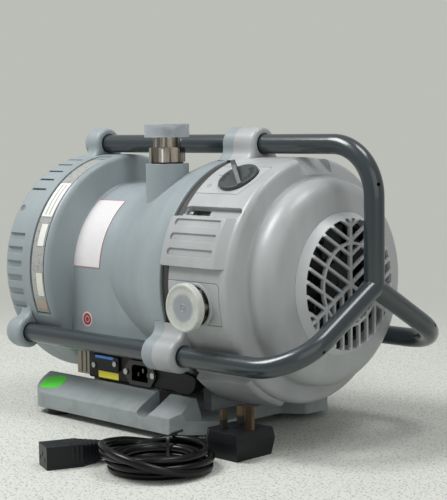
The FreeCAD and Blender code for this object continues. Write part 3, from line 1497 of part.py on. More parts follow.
def foot_rail(side):
    """Side rail of the foot: upright wall, sloped top and hollow underside."""
    corners = [
        (-FOOT_HALF_WIDTH, FOOT_BASE_Z),
        (-FOOT_HALF_WIDTH, RAIL_SIDE_TOP_Z, 2),
        (-RAIL_SHOULDER_Y, RAIL_TOP_Z, 2),
        (-RAIL_INNER_Y, RAIL_TOP_Z, 1),
        (-RAIL_INNER_Y, FOOT_BASE_Z),
    ]
    solid = prism(
        [(y * side, z, *rest) for y, z, *rest in corners],
        lambda y, z: Vector(FOOT_REAR_X, y, z),
        X_AXIS * (FOOT_FRONT_X - FOOT_REAR_X),
    )
    wall = RAIL_WALL
    hollow = [
        (-FOOT_HALF_WIDTH + wall, FOOT_BASE_Z - 1),
        (-FOOT_HALF_WIDTH + wall, RAIL_SIDE_TOP_Z - wall + 2),
        (-RAIL_SHOULDER_Y - 1, RAIL_TOP_Z - wall),
        (-RAIL_SHOULDER_Y - 1, FOOT_BASE_Z - 1),
    ]
    pockets = []
    for start, end in ((FOOT_REAR_X + 17, CHANNEL_X - CHANNEL_RADIUS - wall),
                       (CHANNEL_X + CHANNEL_RADIUS + wall, FOOT_SIDE_END_X - 4)):
        pockets.append(prism(
            [(y * side, z) for y, z in hollow],
            lambda y, z, x=start: Vector(x, y, z),
            X_AXIS * (end - start),
        ))
    return solid.cut(pockets)


def room_over_foot():
    """Spaces that the machine takes above the foot, with a running gap round them."""
    gap = RUNNING_GAP
    face_fittings = FACE_PLATE + FACE_SCREW_HEAD + gap
    return [
        rod(REAR_COVER_RADIUS + gap, REAR_END_X, REAR_JOINT_X),
        rod(RING_RADIUS + gap, REAR_JOINT_X, WAIST_START_X),
        rod(FLANGE_RADIUS + gap, FLANGE_START_X, COWL_START_X),
        rod(BARREL_RADIUS + LEDGE_RAISE[0] + gap, COWL_START_X, BARREL_END_X),
        box(
            (TERMINAL_REAR_X - gap, BOX_FACE_Y - face_fittings, BOX_BOTTOM_Z - gap),
            (NOSE_END_X + gap, BOX_BACK_Y + gap, SHAFT_HEIGHT),
        ),
    ]


def foot_casting():
    """Grey cast foot: two sloped rails, a plate with a window, wings and two saddles."""
    outline = prism(foot_outline(), in_top_view(FOOT_BASE_Z), Z_AXIS * FAR)
    window = box((-118, -58, 0), (20, 58, FAR))
    plate = box(
        (FOOT_REAR_X, -FOOT_HALF_WIDTH, PLATE_BOTTOM_Z),
        (FOOT_FRONT_X, FOOT_HALF_WIDTH, PLATE_TOP_Z),
    ).cut(window)
    edge = prism(foot_outline(), in_top_view(FOOT_BASE_Z), Z_AXIS * (PLATE_TOP_Z - FOOT_BASE_Z))
    core = box(
        (FOOT_REAR_X + RAIL_WALL, -RAIL_INNER_Y, 0),
        (FOOT_SIDE_END_X, RAIL_INNER_Y, FAR),
    )
    shapes = [plate, edge.cut(core).common(box((FOOT_SIDE_END_X, -FAR, 0), (FAR, FAR, FAR)))]
    shapes += [foot_rail(1), foot_rail(-1)]
    shapes += [
        Part.makeCylinder(PAD_BOSS_RADIUS, 14, Vector(x, y, FOOT_BASE_Z)) for x, y in PAD_PLACES
    ]
    shapes = [shape.cut(room_over_foot()) for shape in shapes]
    for span, radius in ((REAR_SADDLE, RING_RADIUS), (FRONT_SADDLE, FLANGE_RADIUS)):
        block = box(
            (span[0], -SADDLE_HALF_WIDTH, PLATE_BOTTOM_Z),
            (span[1], SADDLE_HALF_WIDTH, SADDLE_TOP_Z),
        )
        shapes.append(block.cut(rod(radius, span[0] - 1, span[1] + 1)))
    solid = fused([shape.common(outline) for shape in shapes])
    channel = prism(
        [
            (CHANNEL_X - CHANNEL_RADIUS, CHANNEL_FLOOR_Z, CHANNEL_RADIUS - 0.01),
            (CHANNEL_X + CHANNEL_RADIUS, CHANNEL_FLOOR_Z, CHANNEL_RADIUS - 0.01),
            (CHANNEL_X + CHANNEL_RADIUS + 2, FAR),
            (CHANNEL_X - CHANNEL_RADIUS - 2, FAR),
        ],
        in_side_view(-FAR),
        Y_AXIS * (2 * FAR),
    ).cut(box((-FAR, -RAIL_INNER_Y + 4, 0), (FAR, RAIL_INNER_Y - 4, FAR * 2)))
    chamfer_top = prism(
        [(FOOT_SIDE_END_X + 12, PLATE_TOP_Z), (FAR, PLATE_TOP_Z), (FAR, FAR),
         (FOOT_SIDE_END_X + 4, FAR), (FOOT_SIDE_END_X + 4, RAIL_TOP_Z)],
        in_side_view(-FAR),
        Y_AXIS * (2 * FAR),
    ).cut(box((0, -SADDLE_HALF_WIDTH - 1, 0), (FRONT_SADDLE[1] + 0.1, SADDLE_HALF_WIDTH + 1, FAR)))
    cuts = [channel, chamfer_top] + foot_bolt_holes()
    for x in (FOOT_HOLE_FRONT_X, FOOT_HOLE_REAR_X):
        for y in (FOOT_HOLE_Y, -FOOT_HOLE_Y):
            cuts.append(Part.makeCylinder(FOOT_HOLE_RADIUS, FAR, Vector(x, y, 0)))
    return solid.cut(cuts)


def rubber_feet():
    """Four rubber pads under the foot."""
    return together([
        Part.makeCylinder(PAD_RADIUS, FOOT_BASE_Z, Vector(x, y, 0)) for x, y in PAD_PLACES
    ])


def foot_bolts():
    """Four bolts that hold the pump on the foot's saddles."""
    bolts = []
    for x, y in foot_bolt_places():
        shank_z = FOOT_BASE_Z + 1
        head = Part.makeCylinder(5.0, PLATE_BOTTOM_Z - shank_z, Vector(x, y, shank_z))
        shank = Part.makeCylinder(
            FOOT_BOLT_RADIUS, FOOT_BOLT_TOP_Z - PLATE_BOTTOM_Z, Vector(x, y, PLATE_BOTTOM_Z))
        bolts.append(fused([head, shank]))
    return together(bolts)


def electrical_box():
    """Black box under the body, with a nose that runs under the mid lug."""
    def block(inset, start, end, back):
        return box(
            (start + inset, BOX_FACE_Y + inset, BOX_BOTTOM_Z + inset),
            (end - inset, back - inset, BOX_TOP_Z - inset),
        )
    shell = block(0, BOX_REAR_X, BOX_FRONT_X, BOX_BACK_Y)
    upright = [
        edge for edge in shell.Edges
        if abs(edge.CenterOfMass.z - BOX_BOTTOM_Z) < 0.01 and abs(edge.CenterOfMass.y - BOX_FACE_Y) < 0.01
    ]
    shell = shell.makeFillet(2.0, upright)
    shell = shell.cut(block(BOX_WALL, BOX_REAR_X, BOX_FRONT_X, BOX_BACK_Y))
    nose = prism(
        [
            (BOX_FRONT_X - 2, BOX_BOTTOM_Z + 0.2),
            (NOSE_END_X, BOX_BOTTOM_Z + 0.2, 14),
            (NOSE_END_X, BOX_TOP_Z - 10, 4),
            (BOX_FRONT_X - 2, BOX_TOP_Z - 4),
        ],
        in_side_view(BOX_FACE_Y),
        Y_AXIS * 14,
    )
    solid = fused([shell, nose])
    opening = box(
        (INLET_PLUG_X - 14.5, BOX_FACE_Y - 1, INLET_PLUG_Z - 10.5),
        (INLET_PLUG_X + 14.5, BOX_FACE_Y + BOX_WALL + 1, INLET_PLUG_Z + 10.5),
    )
    cuts = [
        opening,
        rod(WAIST_RADIUS + RUNNING_GAP, BOX_REAR_X - 5, FLARE_START_X + 2),
        body_outer(),
        rod(FLANGE_RADIUS + RUNNING_GAP, LUG_BODY_START_X - 10, NOSE_END_X + 5),
        rod(BARREL_RADIUS + RUNNING_GAP, COWL_START_X - 10, NOSE_END_X + 10),
    ]
    cuts += [inlet_screw(step, SLIP_FIT) for step in (-1, 1)]
    cuts += [voltage_screw(place, SLIP_FIT) for place in VOLTAGE_SCREWS]
    return solid.cut(cuts)


def terminal_cover():
    """Bare metal cover beside the electrical box."""
    cover = box(
        (TERMINAL_REAR_X, BOX_FACE_Y + 1, BOX_BOTTOM_Z + 2),
        (BOX_REAR_X, BOX_BACK_Y - 6, BOX_TOP_Z),
    )
    ridges = [
        box((x, BOX_FACE_Y, BOX_BOTTOM_Z + 4), (x + 2.5, BOX_FACE_Y + 2, BOX_TOP_Z - 2))
        for x in (TERMINAL_REAR_X + 5, TERMINAL_REAR_X + 12)
    ]
    return fused([cover] + ridges).cut([body_outer()])


def voltage_screw(place, gap):
    """Screw of the voltage cover, or its hole with a gap added."""
    x, rise = place
    return face_screw(x, SHAFT_HEIGHT + rise, 2.8 + gap, 1.4 + gap)


def face_screw(x, z, head_radius, shank_radius):
    """Screw that holds a plate to the box's near face."""
    head = Part.makeCylinder(head_radius, FACE_SCREW_HEAD, Vector(x, BOX_FACE_Y - FACE_PLATE, z), -Y_AXIS)
    shank = Part.makeCylinder(shank_radius, 8, Vector(x, BOX_FACE_Y - FACE_PLATE + 8, z), -Y_AXIS)
    return fused([head, shank])


def voltage_cover():
    """Screwed cover plate over the voltage selector."""
    rear, front, low, high = VOLTAGE_COVER
    plate = prism(
        [
            (rear, SHAFT_HEIGHT + low, 2),
            (front, SHAFT_HEIGHT + low, 2),
            (front, SHAFT_HEIGHT + high, 2),
            (rear, SHAFT_HEIGHT + high, 2),
        ],
        in_side_view(BOX_FACE_Y - FACE_PLATE),
        Y_AXIS * FACE_PLATE,
    )
    return plate.cut([voltage_screw(place, SLIP_FIT) for place in VOLTAGE_SCREWS])


def voltage_cover_screws():
    """Two screws of the voltage cover."""
    return together([voltage_screw(place, 0) for place in VOLTAGE_SCREWS])


def inlet_screw(step, gap):
    """Screw of the mains inlet on one side, or its hole with a gap added."""
    x = INLET_PLUG_X + step * INLET_SCREW_PITCH / 2
    return face_screw(x, INLET_PLUG_Z, 3.0 + gap, 1.5 + gap)


def mains_inlet():
    """Three-pin appliance inlet with an oval flange and a deep socket."""
    x, z = INLET_PLUG_X, INLET_PLUG_Z
    flange = prism(
        [
            (x - 25, z, 4),
            (x - 15.5, z + 12.5, 4),
            (x + 15.5, z + 12.5, 4),
            (x + 25, z, 4),
            (x + 15.5, z - 12.5, 4),
            (x - 15.5, z - 12.5, 4),
        ],
        in_side_view(BOX_FACE_Y - FACE_PLATE),
        Y_AXIS * FACE_PLATE,
    )
    back = box((x - 14, BOX_FACE_Y, z - 10), (x + 14, BOX_FACE_Y + 19, z + 10))
    socket = prism(
        [
            (x - 12, z + 8.2, 4.5),
            (x + 12, z + 8.2, 4.5),
            (x + 12, z - 8.2, 1),
            (x - 12, z - 8.2, 1),
        ],
        in_side_view(BOX_FACE_Y - 5),
        Y_AXIS * 21,
    )
    cuts = [socket] + [inlet_screw(step, SLIP_FIT) for step in (-1, 1)]
    return fused([flange, back]).cut(cuts + inlet_blades(0.05))


def inlet_blades(gap):
    """Three flat contact blades of the mains inlet."""
    floor = BOX_FACE_Y + 16
    blades = []
    for dx, dz in ((-7, -2), (0, 2), (7, -2)):
        x = INLET_PLUG_X + dx
        z = INLET_PLUG_Z + dz
        blades.append(box(
            (x - 1 - gap, floor - 14, z - 2 - gap),
            (x + 1 + gap, floor + 2, z + 2 + gap),
        ))
    return blades


def mains_inlet_pins():
    """Contact blades of the mains inlet, seated in its back wall."""
    return together(inlet_blades(0))


def mains_inlet_screws():
    """Two screws of the mains inlet."""
    return together([inlet_screw(step, 0) for step in (-1, 1)])


def run_capacitor():
    """Motor run capacitor inside the rear cover, on the end shield."""
    return rod(16.0, -190.0, MOTOR_START_X - END_SHIELD_THICKNESS, 0, 46.0)


def cord_tube(points):
    """Round cord along straight runs joined by tangent arcs; returns the solid and facts."""
    stations = [Vector(*p) for p in points]
    edges = []
    radii = []
    length = 0.0
    here = stations[0]
    for i in range(1, len(stations) - 1):
        corner = stations[i]
        back = stations[i - 1] - corner
        ahead = stations[i + 1] - corner
        shorter = min(back.Length, ahead.Length)
        turn = math.pi - back.getAngle(ahead)
        reach = 0.45 * shorter
        radius = reach / math.tan(turn / 2)
        back.normalize()
        ahead.normalize()
        middle = (back + ahead).normalize()
        start = corner + back * reach
        end = corner + ahead * reach
        through = corner + middle * (radius / math.cos(turn / 2) - radius)
        edges.append(Part.LineSegment(here, start).toShape())
        edges.append(Part.Arc(start, through, end).toShape())
        length += (start - here).Length + radius * turn
        radii.append(radius)
        here = end
    edges.append(Part.LineSegment(here, stations[-1]).toShape())
    length += (stations[-1] - here).Length
    path = Part.Wire(edges)
    direction = stations[1] - stations[0]
    section = Part.Wire(Part.makeCircle(CORD_RADIUS, stations[0], direction))
    solid = path.makePipeShell([section], True, False)
    expected = math.pi * CORD_RADIUS ** 2 * length
    print("cord radii", [round(r, 1) for r in radii], "length", round(length, 1),
          "volume over section times length", round(solid.Volume / expected, 4))
    return solid


def along_connector(distance, across, z):
    """Point at a distance along the connector, across it and up."""
    turn = math.radians(CONNECTOR_ANGLE)
    along = Vector(math.cos(turn), math.sin(turn), 0)
    side = Vector(-math.sin(turn), math.cos(turn), 0)
    return Vector(CONNECTOR_X, CONNECTOR_Y, z) + along * distance + side * across


def connector_section(distance, width, height):
    """Rectangular outline across the connector at a distance from its mouth."""
    middle = CONNECTOR_HEIGHT / 2
    half = width / 2
    corners = [
        along_connector(distance, -half, middle - height / 2),
        along_connector(distance, half, middle - height / 2),
        along_connector(distance, half, middle + height / 2),
        along_connector(distance, -half, middle + height / 2),
    ]
    return Part.makePolygon(corners + corners[:1])


def connector_body():
    """Appliance connector lying flat, with three contact slots and a tapered relief."""
    body = Part.makeLoft([
        connector_section(0, CONNECTOR_WIDTH, CONNECTOR_HEIGHT),
        connector_section(CONNECTOR_LENGTH, CONNECTOR_WIDTH, CONNECTOR_HEIGHT),
    ], True, True)
    relief = Part.makeLoft([
        connector_section(CONNECTOR_LENGTH, CONNECTOR_WIDTH - 6, CONNECTOR_HEIGHT - 4),
        connector_section(CONNECTOR_END, CORD_RADIUS * 2 + 4, CORD_RADIUS * 2 + 4),
    ], True, True)
    slots = []
    for aside, up in ((-7, -2), (7, -2), (0, 2)):
        centre = along_connector(-1, aside, CONNECTOR_HEIGHT / 2 + up)
        slot = Part.makeBox(14, 2.4, 4.6, Vector(-1, -1.2, -2.3))
        slot.rotate(Vector(), Z_AXIS, CONNECTOR_ANGLE)
        slot.translate(centre)
        slots.append(slot)
    return fused([body, relief]).cut(slots)


def cord_coil():
    """Outer shape of the cord's coil."""
    foot = Vector(COIL_X, COIL_Y, 0)
    ring = Part.makeCylinder(COIL_OUTER_RADIUS, COIL_HEIGHT, foot)
    return ring.cut(Part.makeCylinder(COIL_INNER_RADIUS, COIL_HEIGHT, foot))


def cord_tie():
    """Tie round the coil, on the side away from the viewer's left."""
    turn = math.radians(TIE_ANGLE)
    middle = (COIL_OUTER_RADIUS + COIL_INNER_RADIUS) / 2
    half = (COIL_OUTER_RADIUS - COIL_INNER_RADIUS) / 2
    outer = box((-half - 1.6, -2.2, 0), (half + 1.6, 2.2, COIL_HEIGHT + 1.6))
    inner = box((-half - 0.4, -3, -1), (half + 0.4, 3, COIL_HEIGHT + 0.3))
    tie = outer.cut(inner)
    tie.rotate(Vector(), Z_AXIS, math.degrees(turn))
    tie.translate(Vector(COIL_X + middle * math.cos(turn), COIL_Y + middle * math.sin(turn), 0))
    return tie


def plug_body():
    """Three-pin mains plug on its back, narrower at its top, with a cord entry."""
    low_x, high_x = PLUG_X
    low_y, high_y = PLUG_Y
    shoulder = PLUG_HEIGHT * 0.62

    def outline(z, inset):
        points = [
            Vector(low_x + inset, low_y + 6 + inset, z),
            Vector(low_x + inset + 8, low_y + inset, z),
            Vector(high_x - inset, low_y + inset, z),
            Vector(high_x - inset, high_y - inset, z),
            Vector(low_x + inset + 8, high_y - inset, z),
            Vector(low_x + inset, high_y - 6 - inset, z),
        ]
        return Part.makePolygon(points + points[:1])

    lower = Part.makeLoft([outline(0, 2.5), outline(shoulder, 0)], True, True)
    upper = Part.makeLoft([outline(shoulder, 0), outline(PLUG_HEIGHT, 1.5)], True, True)
    return fused([lower, upper]).cut(plug_pin_blocks(0.0))


def plug_pin_blocks(grow):
    """Line, neutral and earth pins, from inside the plug upwards."""
    middle_y = (PLUG_Y[0] + PLUG_Y[1]) / 2
    root = PLUG_HEIGHT - 4
    pins = []
    for side in (-1, 1):
        y = middle_y + side * PLUG_LINE_OFFSET
        pins.append(box((PLUG_LINE_X - 2, y - 3.2, root), (PLUG_LINE_X + 2, y + 3.2, PLUG_HEIGHT + 17.7)))
    pins.append(box(
        (PLUG_EARTH_X - 4, middle_y - 2, root), (PLUG_EARTH_X + 4, middle_y + 2, PLUG_HEIGHT + 22.7)))
    return pins


def plug_pins():
    """Three rectangular plug pins."""
    return together(plug_pin_blocks(0.0))


def frame_tube_top():
    """Frame tube above the shaft, used as a handle."""
    return frame_tube(TUBE_ANGLES[0])


def frame_tube_near():
    """Lower frame tube on the near side."""
    return frame_tube(TUBE_ANGLES[1])


def frame_tube_far():
    """Lower frame tube on the far side."""
    return frame_tube(TUBE_ANGLES[2])


def front_bearing():
    """Main bearing behind the eccentric pin."""
    return bearing(FRONT_BEARING, FRONT_JOURNAL_RADIUS + SHAFT_FIT)


def rear_bearing():
    """Bearing in the end shield."""
    return bearing(REAR_BEARING, REAR_JOURNAL_RADIUS + SHAFT_FIT)


def crank_bearing():
    """Bearing in the orbiting scroll's hub."""
    return bearing(CRANK_BEARING, CRANK_PIN_RADIUS + SHAFT_FIT, 0, ORBIT_RADIUS)


def housing_screws():
    """Six screws that hold the scroll housing in the body."""
    return together(scroll_housing_bolts(False))


def cord_near_connector():
    """Cord from the connector into the coil."""
    height = CONNECTOR_HEIGHT / 2
    return cord_tube([
        along_connector(CONNECTOR_END, 0, height),
        along_connector(CONNECTOR_TAIL_REACH, 0, height),
        CONNECTOR_TAIL_END,
    ])


def cord_near_plug():
    """Cord from the coil to the plug."""
    return cord_tube(PLUG_TAIL)


NODES = (
    foot_casting, rubber_feet, foot_bolts, body_casting, rear_cover, rear_cover_screws,
    cowl, cowl_screws, gap_ring, frame_tube_top, frame_tube_near, frame_tube_far,
    grille, fan_frame, cooling_fan, ballast_panel, ballast_knob, ballast_valve,
    exhaust_panel, exhaust_adaptor, exhaust_cap, exhaust_valve,
    inlet_adaptor, inlet_seal, inlet_strainer, inlet_cap,
    end_shield, rear_bearing, front_bearing, crank_bearing, motor_stator, motor_windings,
    motor_rotor, run_capacitor, crankshaft, front_counterweight, rear_counterweight,
    scroll_housing, housing_screws, housing_seal, bellows, orbiting_scroll, orbiting_tip_seal,
    fixed_scroll, fixed_tip_seal, fixed_scroll_screws,
    electrical_box, terminal_cover, voltage_cover, voltage_cover_screws,
    mains_inlet, mains_inlet_pins, mains_inlet_screws,
    connector_body, cord_near_connector, cord_coil, cord_tie, cord_near_plug, plug_body, plug_pins,
)


def main():
    """Build every node and write one STEP file for each."""
    os.makedirs("parts", exist_ok=True)
    for make in NODES:
        shape = make()
        if not shape.isValid() or shape.Volume <= 0:
            print("not valid:", make.__name__, shape.Volume)
        shape.exportStep("parts/" + make.__name__ + ".step")
        bounds = shape.BoundBox
        print("%-22s %7.1f cm3  x %6.1f %6.1f  y %6.1f %6.1f  z %6.1f %6.1f  solids %d" % (
            make.__name__, shape.Volume / 1000, bounds.XMin, bounds.XMax,
            bounds.YMin, bounds.YMax, bounds.ZMin, bounds.ZMax, len(shape.Solids)))


main()
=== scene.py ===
"""Looks of the dry scroll vacuum pump: finishes, small fitted pieces, mains lead, floor, light and camera."""
import json
import logging
import math
from collections.abc import Callable
from dataclasses import dataclass, replace
from enum import Enum
from functools import cache, cached_property

import bmesh
import bpy
import numpy as np
from mathutils import Matrix, Vector


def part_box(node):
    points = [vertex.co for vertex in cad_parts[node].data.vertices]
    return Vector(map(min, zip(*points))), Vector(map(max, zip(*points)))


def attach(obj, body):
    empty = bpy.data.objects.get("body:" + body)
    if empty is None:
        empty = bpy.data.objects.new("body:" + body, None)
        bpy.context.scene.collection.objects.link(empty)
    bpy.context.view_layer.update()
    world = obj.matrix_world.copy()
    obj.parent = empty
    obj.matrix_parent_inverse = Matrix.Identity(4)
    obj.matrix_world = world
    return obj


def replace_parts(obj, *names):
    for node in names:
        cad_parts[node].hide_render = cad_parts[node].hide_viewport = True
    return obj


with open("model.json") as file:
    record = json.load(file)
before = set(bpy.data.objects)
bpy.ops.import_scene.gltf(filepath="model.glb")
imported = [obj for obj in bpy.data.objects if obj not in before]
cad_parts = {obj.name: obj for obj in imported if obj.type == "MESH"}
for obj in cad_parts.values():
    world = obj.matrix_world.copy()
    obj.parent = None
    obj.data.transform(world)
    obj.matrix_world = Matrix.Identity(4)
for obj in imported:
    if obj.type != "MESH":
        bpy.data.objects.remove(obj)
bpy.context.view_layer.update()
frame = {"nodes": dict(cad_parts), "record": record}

LOG = logging.getLogger("pump")

Colour = tuple[float, float, float]
Point = tuple[float, float, float]
Pair = tuple[float, float]
Node = bpy.types.Node
Socket = bpy.types.NodeSocket
Piece = bpy.types.Object
Material = bpy.types.Material
Sockets = dict[str | int, object]

SHAFT_HEIGHT = 0.15
SHAFT = (0.0, 0.0, SHAFT_HEIGHT)
WAIST_RADIUS = 0.0884
BAND_RADIUS = 0.1176
BARREL_RADIUS = 0.1174
BOX_FACE_Y = -0.08
FACE_PLATE = 0.0025
COIL_MIDDLE = (0.112, -0.186)
FILM_LIFT = 0.00012
IMAGE_HEIGHT = 500
ROUND = 2 * math.pi
NEARLY_STRAIGHT = 0.01
X_AXIS, Y_AXIS, Z_AXIS = np.eye(3)

NICKEL = (0.52, 0.495, 0.455)
# painted reflection colours on polished nickel: a light glint streak and a dark shade streak
NICKEL_GLINT = (0.9, 0.89, 0.86)
NICKEL_SHADE = (0.2, 0.18, 0.16)
MILK = (0.84, 0.87, 0.9)
WHITE_FILM = (0.86, 0.855, 0.86)
WORN_EDGE = (0.86, 0.87, 0.87)
BRIGHT_RIM = (0.86, 0.875, 0.88)
# tone of the blotchy darkening low down on cast paint
LOW_DOWN_TONE = (0.34, 0.33, 0.31)
SPECK = (0.3, 0.3, 0.3)
CHIP = (0.46, 0.47, 0.47)
INK = (0.25, 0.25, 0.26)
SCUFF = (0.36, 0.36, 0.36)
SLEEVE = (0.09, 0.09, 0.09)


class Turning(Enum):
    """Axis that a part was turned about, as its place in a vector."""

    X, Y, Z = range(3)


def linear(colour: Colour) -> Colour:
    """Turn screen colour values from 0 to 1 into the linear values that shaders use."""
    c = np.array(colour, float)
    return tuple(np.where(c <= 0.04045, c / 12.92, ((c + 0.055) / 1.055) ** 2.4).tolist())


# Shader expressions


@dataclass(eq=False)
class Value:
    """A shader number on a node's output socket: Python operators on it add Math nodes."""

    graph: "Graph"
    socket: Socket

    def math(self, operation: str, *operands: "Value | float") -> "Value":
        """Add one Math node.

        Args:
            operation: name of the Math operation.
            operands: the node's numbers or values, in order.

        Returns:
            The result as a new value.
        """
        return self.graph.value("Math", 0, dict(enumerate(operands)), operation=operation)

    def _operator(operation: str, swapped: bool = False) -> "Callable[[Value, Value | float], Value]":
        """Make the method for one operator.

        Args:
            operation: name of the Math operation.
            swapped: whether it is the reflected form, where the operands swap.

        Returns:
            The method.
        """

        def method(self: "Value", other: "Value | float") -> "Value":
            """This value and another through the operator's Math node."""
            return self.math(operation, *((other, self) if swapped else (self, other)))

        return method

    __add__ = __radd__ = _operator("ADD")
    __sub__, __rsub__ = _operator("SUBTRACT"), _operator("SUBTRACT", swapped=True)
    __mul__ = __rmul__ = _operator("MULTIPLY")
    __pow__ = _operator("POWER")
    __lt__, __gt__ = _operator("LESS_THAN"), _operator("GREATER_THAN")
    least = _operator("MINIMUM")

    def wave(self) -> "Value":
        """Sine of this, in radians."""
        return self.math("SINE", self)

    def stripes(self) -> "Value":
        """Sine of this, lifted to run from 0 to 1."""
        return self.wave() * 0.5 + 0.5

    def ramp(self, low: float, high: float) -> "Value":
        """Smooth step of this from 0 at low to 1 at high."""
        inputs = {"Value": self, "From Min": low, "From Max": high}
        return self.graph.value("MapRange", 0, inputs, interpolation_type="SMOOTHSTEP", clamp=True)


class Graph:
    """The node tree of one material, or of the world."""

    def __init__(self, owner: Material | bpy.types.World) -> None:
        """Start with an empty tree."""
        owner.use_nodes = True
        self.owner = owner
        self.tree = owner.node_tree
        self.tree.nodes.clear()

    def node(self, kind: str, inputs: Sockets | None = None, **settings: object) -> Node:
        """Add a node.

        Args:
            kind: the node's type name, after ShaderNode.
            inputs: socket name or number to a value, a Value or a socket to link.
            settings: its own settings, set first.

        Returns:
            The new node.
        """
        made = self.tree.nodes.new("ShaderNode" + kind)
        for key, value in settings.items():
            setattr(made, key, value)
        for key, value in (inputs or {}).items():
            self.feed(made.inputs[key], value)
        return made

    def feed(self, socket: Socket, value: object) -> None:
        """Link a socket, or set its number or colour.

        Args:
            socket: the input socket.
            value: a Value, an output socket, a number, a vector or a linear colour.
        """
        if isinstance(value, Value):
            value = value.socket
        if isinstance(value, Socket):
            self.tree.links.new(value, socket)
        elif socket.type == "RGBA":
            socket.default_value = (*value, 1.0)
        else:
            socket.default_value = value

    def value(self, kind: str, output: int | str, inputs: Sockets | None = None, **settings: object) -> Value:
        """Add a node and take the number from one of its outputs."""
        return Value(self, self.node(kind, inputs, **settings).outputs[output])

    @cached_property
    def place(self) -> Socket:
        """Object coordinates, in metres in the part's frame."""
        return self.node("TexCoord").outputs["Object"]

    def stretched(self, *scale: float) -> Socket:
        """Object coordinates scaled along each axis."""
        return self.node("VectorMath", {0: self.place, 1: scale}, operation="MULTIPLY").outputs[0]

    def axes(self, vector: Socket | None = None) -> tuple[Value, Value, Value]:
        """The x, y and z of a vector, or of the object coordinates."""
        parts = self.node("SeparateXYZ", {0: vector or self.place})
        return tuple(Value(self, out) for out in parts.outputs)

    def patch(self) -> tuple[Value, Value]:
        """The u and v of the piece's own UV map."""
        return self.axes(self.node("TexCoord").outputs["UV"])[:2]

    def from_axis(self, centre: Point = SHAFT, about: Turning = Turning.X) -> tuple[Value, Value]:
        """Measure from an axis, which is the shaft's if none is given.

        Args:
            centre: a point on the axis.
            about: which way it runs.

        Returns:
            Distance from the axis, and distance along it.
        """
        away = [p - c for p, c in zip(self.axes(), centre)]
        along = away.pop(about.value)
        return (away[0] * away[0] + away[1] * away[1]) ** 0.5, along

    def edges(self, radius: float) -> tuple[Socket, Value]:
        """Round the normal over sharp edges.

        Args:
            radius: reach of the rounding, in metres.

        Returns:
            The rounded normal, and a mask that rises where the true one parts from it.
        """
        rounded = self.node("Bevel", {"Radius": radius}, samples=4).outputs[0]
        own = self.node("NewGeometry").outputs["Normal"]
        agree = self.value("VectorMath", "Value", {0: rounded, 1: own}, operation="DOT_PRODUCT")
        return rounded, (1 - agree).ramp(0.01, 0.15)

    def noise(self, scale: float, detail: float = 2.0, vector: Socket | None = None) -> Value:
        """Fractal noise near 0.5 with that many features a metre."""
        inputs = {"Vector": vector or self.place, "Scale": scale, "Detail": detail, "Roughness": 0.55}
        return self.value("TexNoise", 0, inputs)

    def cells(self, scale: float) -> Value:
        """Distance to the nearest of scattered points, that many a metre."""
        return self.value("TexVoronoi", "Distance", {"Vector": self.place, "Scale": scale})

    def blend(self, mask: Value | float, low: object, high: object) -> Socket:
        """Linear colour that goes from low to high with a mask."""
        return self.node("Mix", {0: mask, 6: low, 7: high}, data_type="RGBA").outputs[2]

    def over(self, colour: Socket, *layers: tuple[Value, Colour]) -> Socket:
        """Colour with layers over it, each a mask and the screen colour that shows where it is one."""
        for mask, paint in layers:
            colour = self.blend(mask, colour, linear(paint))
        return colour

    def relief(
        self, height: Value, depth: float, strength: float = 1.0, normal: Socket | None = None
    ) -> Socket:
        """Bump a surface.

        Args:
            height: how high it stands, from 0 to 1.
            depth: what a height of 1 stands for, in metres.
            strength: share of the bump that shows.
            normal: what the bump lies on, if not on the surface's own normal.

        Returns:
            The bumped normal.
        """
        inputs = {"Strength": strength, "Distance": depth, "Height": height}
        if normal is not None:
            inputs["Normal"] = normal
        return self.node("Bump", inputs).outputs[0]

    def end(self, kind: str, shader: Node) -> Material | bpy.types.World:
        """Put a shader into the output node of that kind."""
        self.node(kind, {"Surface": shader.outputs[0]})
        return self.owner


# Finishes


@dataclass(frozen=True)
class Finish:
    """A finish with a screen colour and a roughness."""

    colour: Colour
    roughness: float = 0.5

    def shades(self, g: Graph, mask: Value, spread: float) -> Socket:
        """From a little darker than the colour to a little lighter; the other way below nought."""
        ends = (linear(np.clip(np.multiply(self.colour, 1 + way), 0, 1)) for way in (-spread, spread))
        return g.blend(mask, *ends)

    def sockets(self, g: Graph) -> Sockets:
        """Work out what goes into the shader's sockets.

        Args:
            g: the material's graph.

        Returns:
            The number, value or link of each socket.
        """
        raise NotImplementedError

    def dress(self, name: str) -> Material:
        """Make the material."""
        g = Graph(bpy.data.materials.new(name))
        return g.end("OutputMaterial", g.node("BsdfPrincipled", self.sockets(g)))


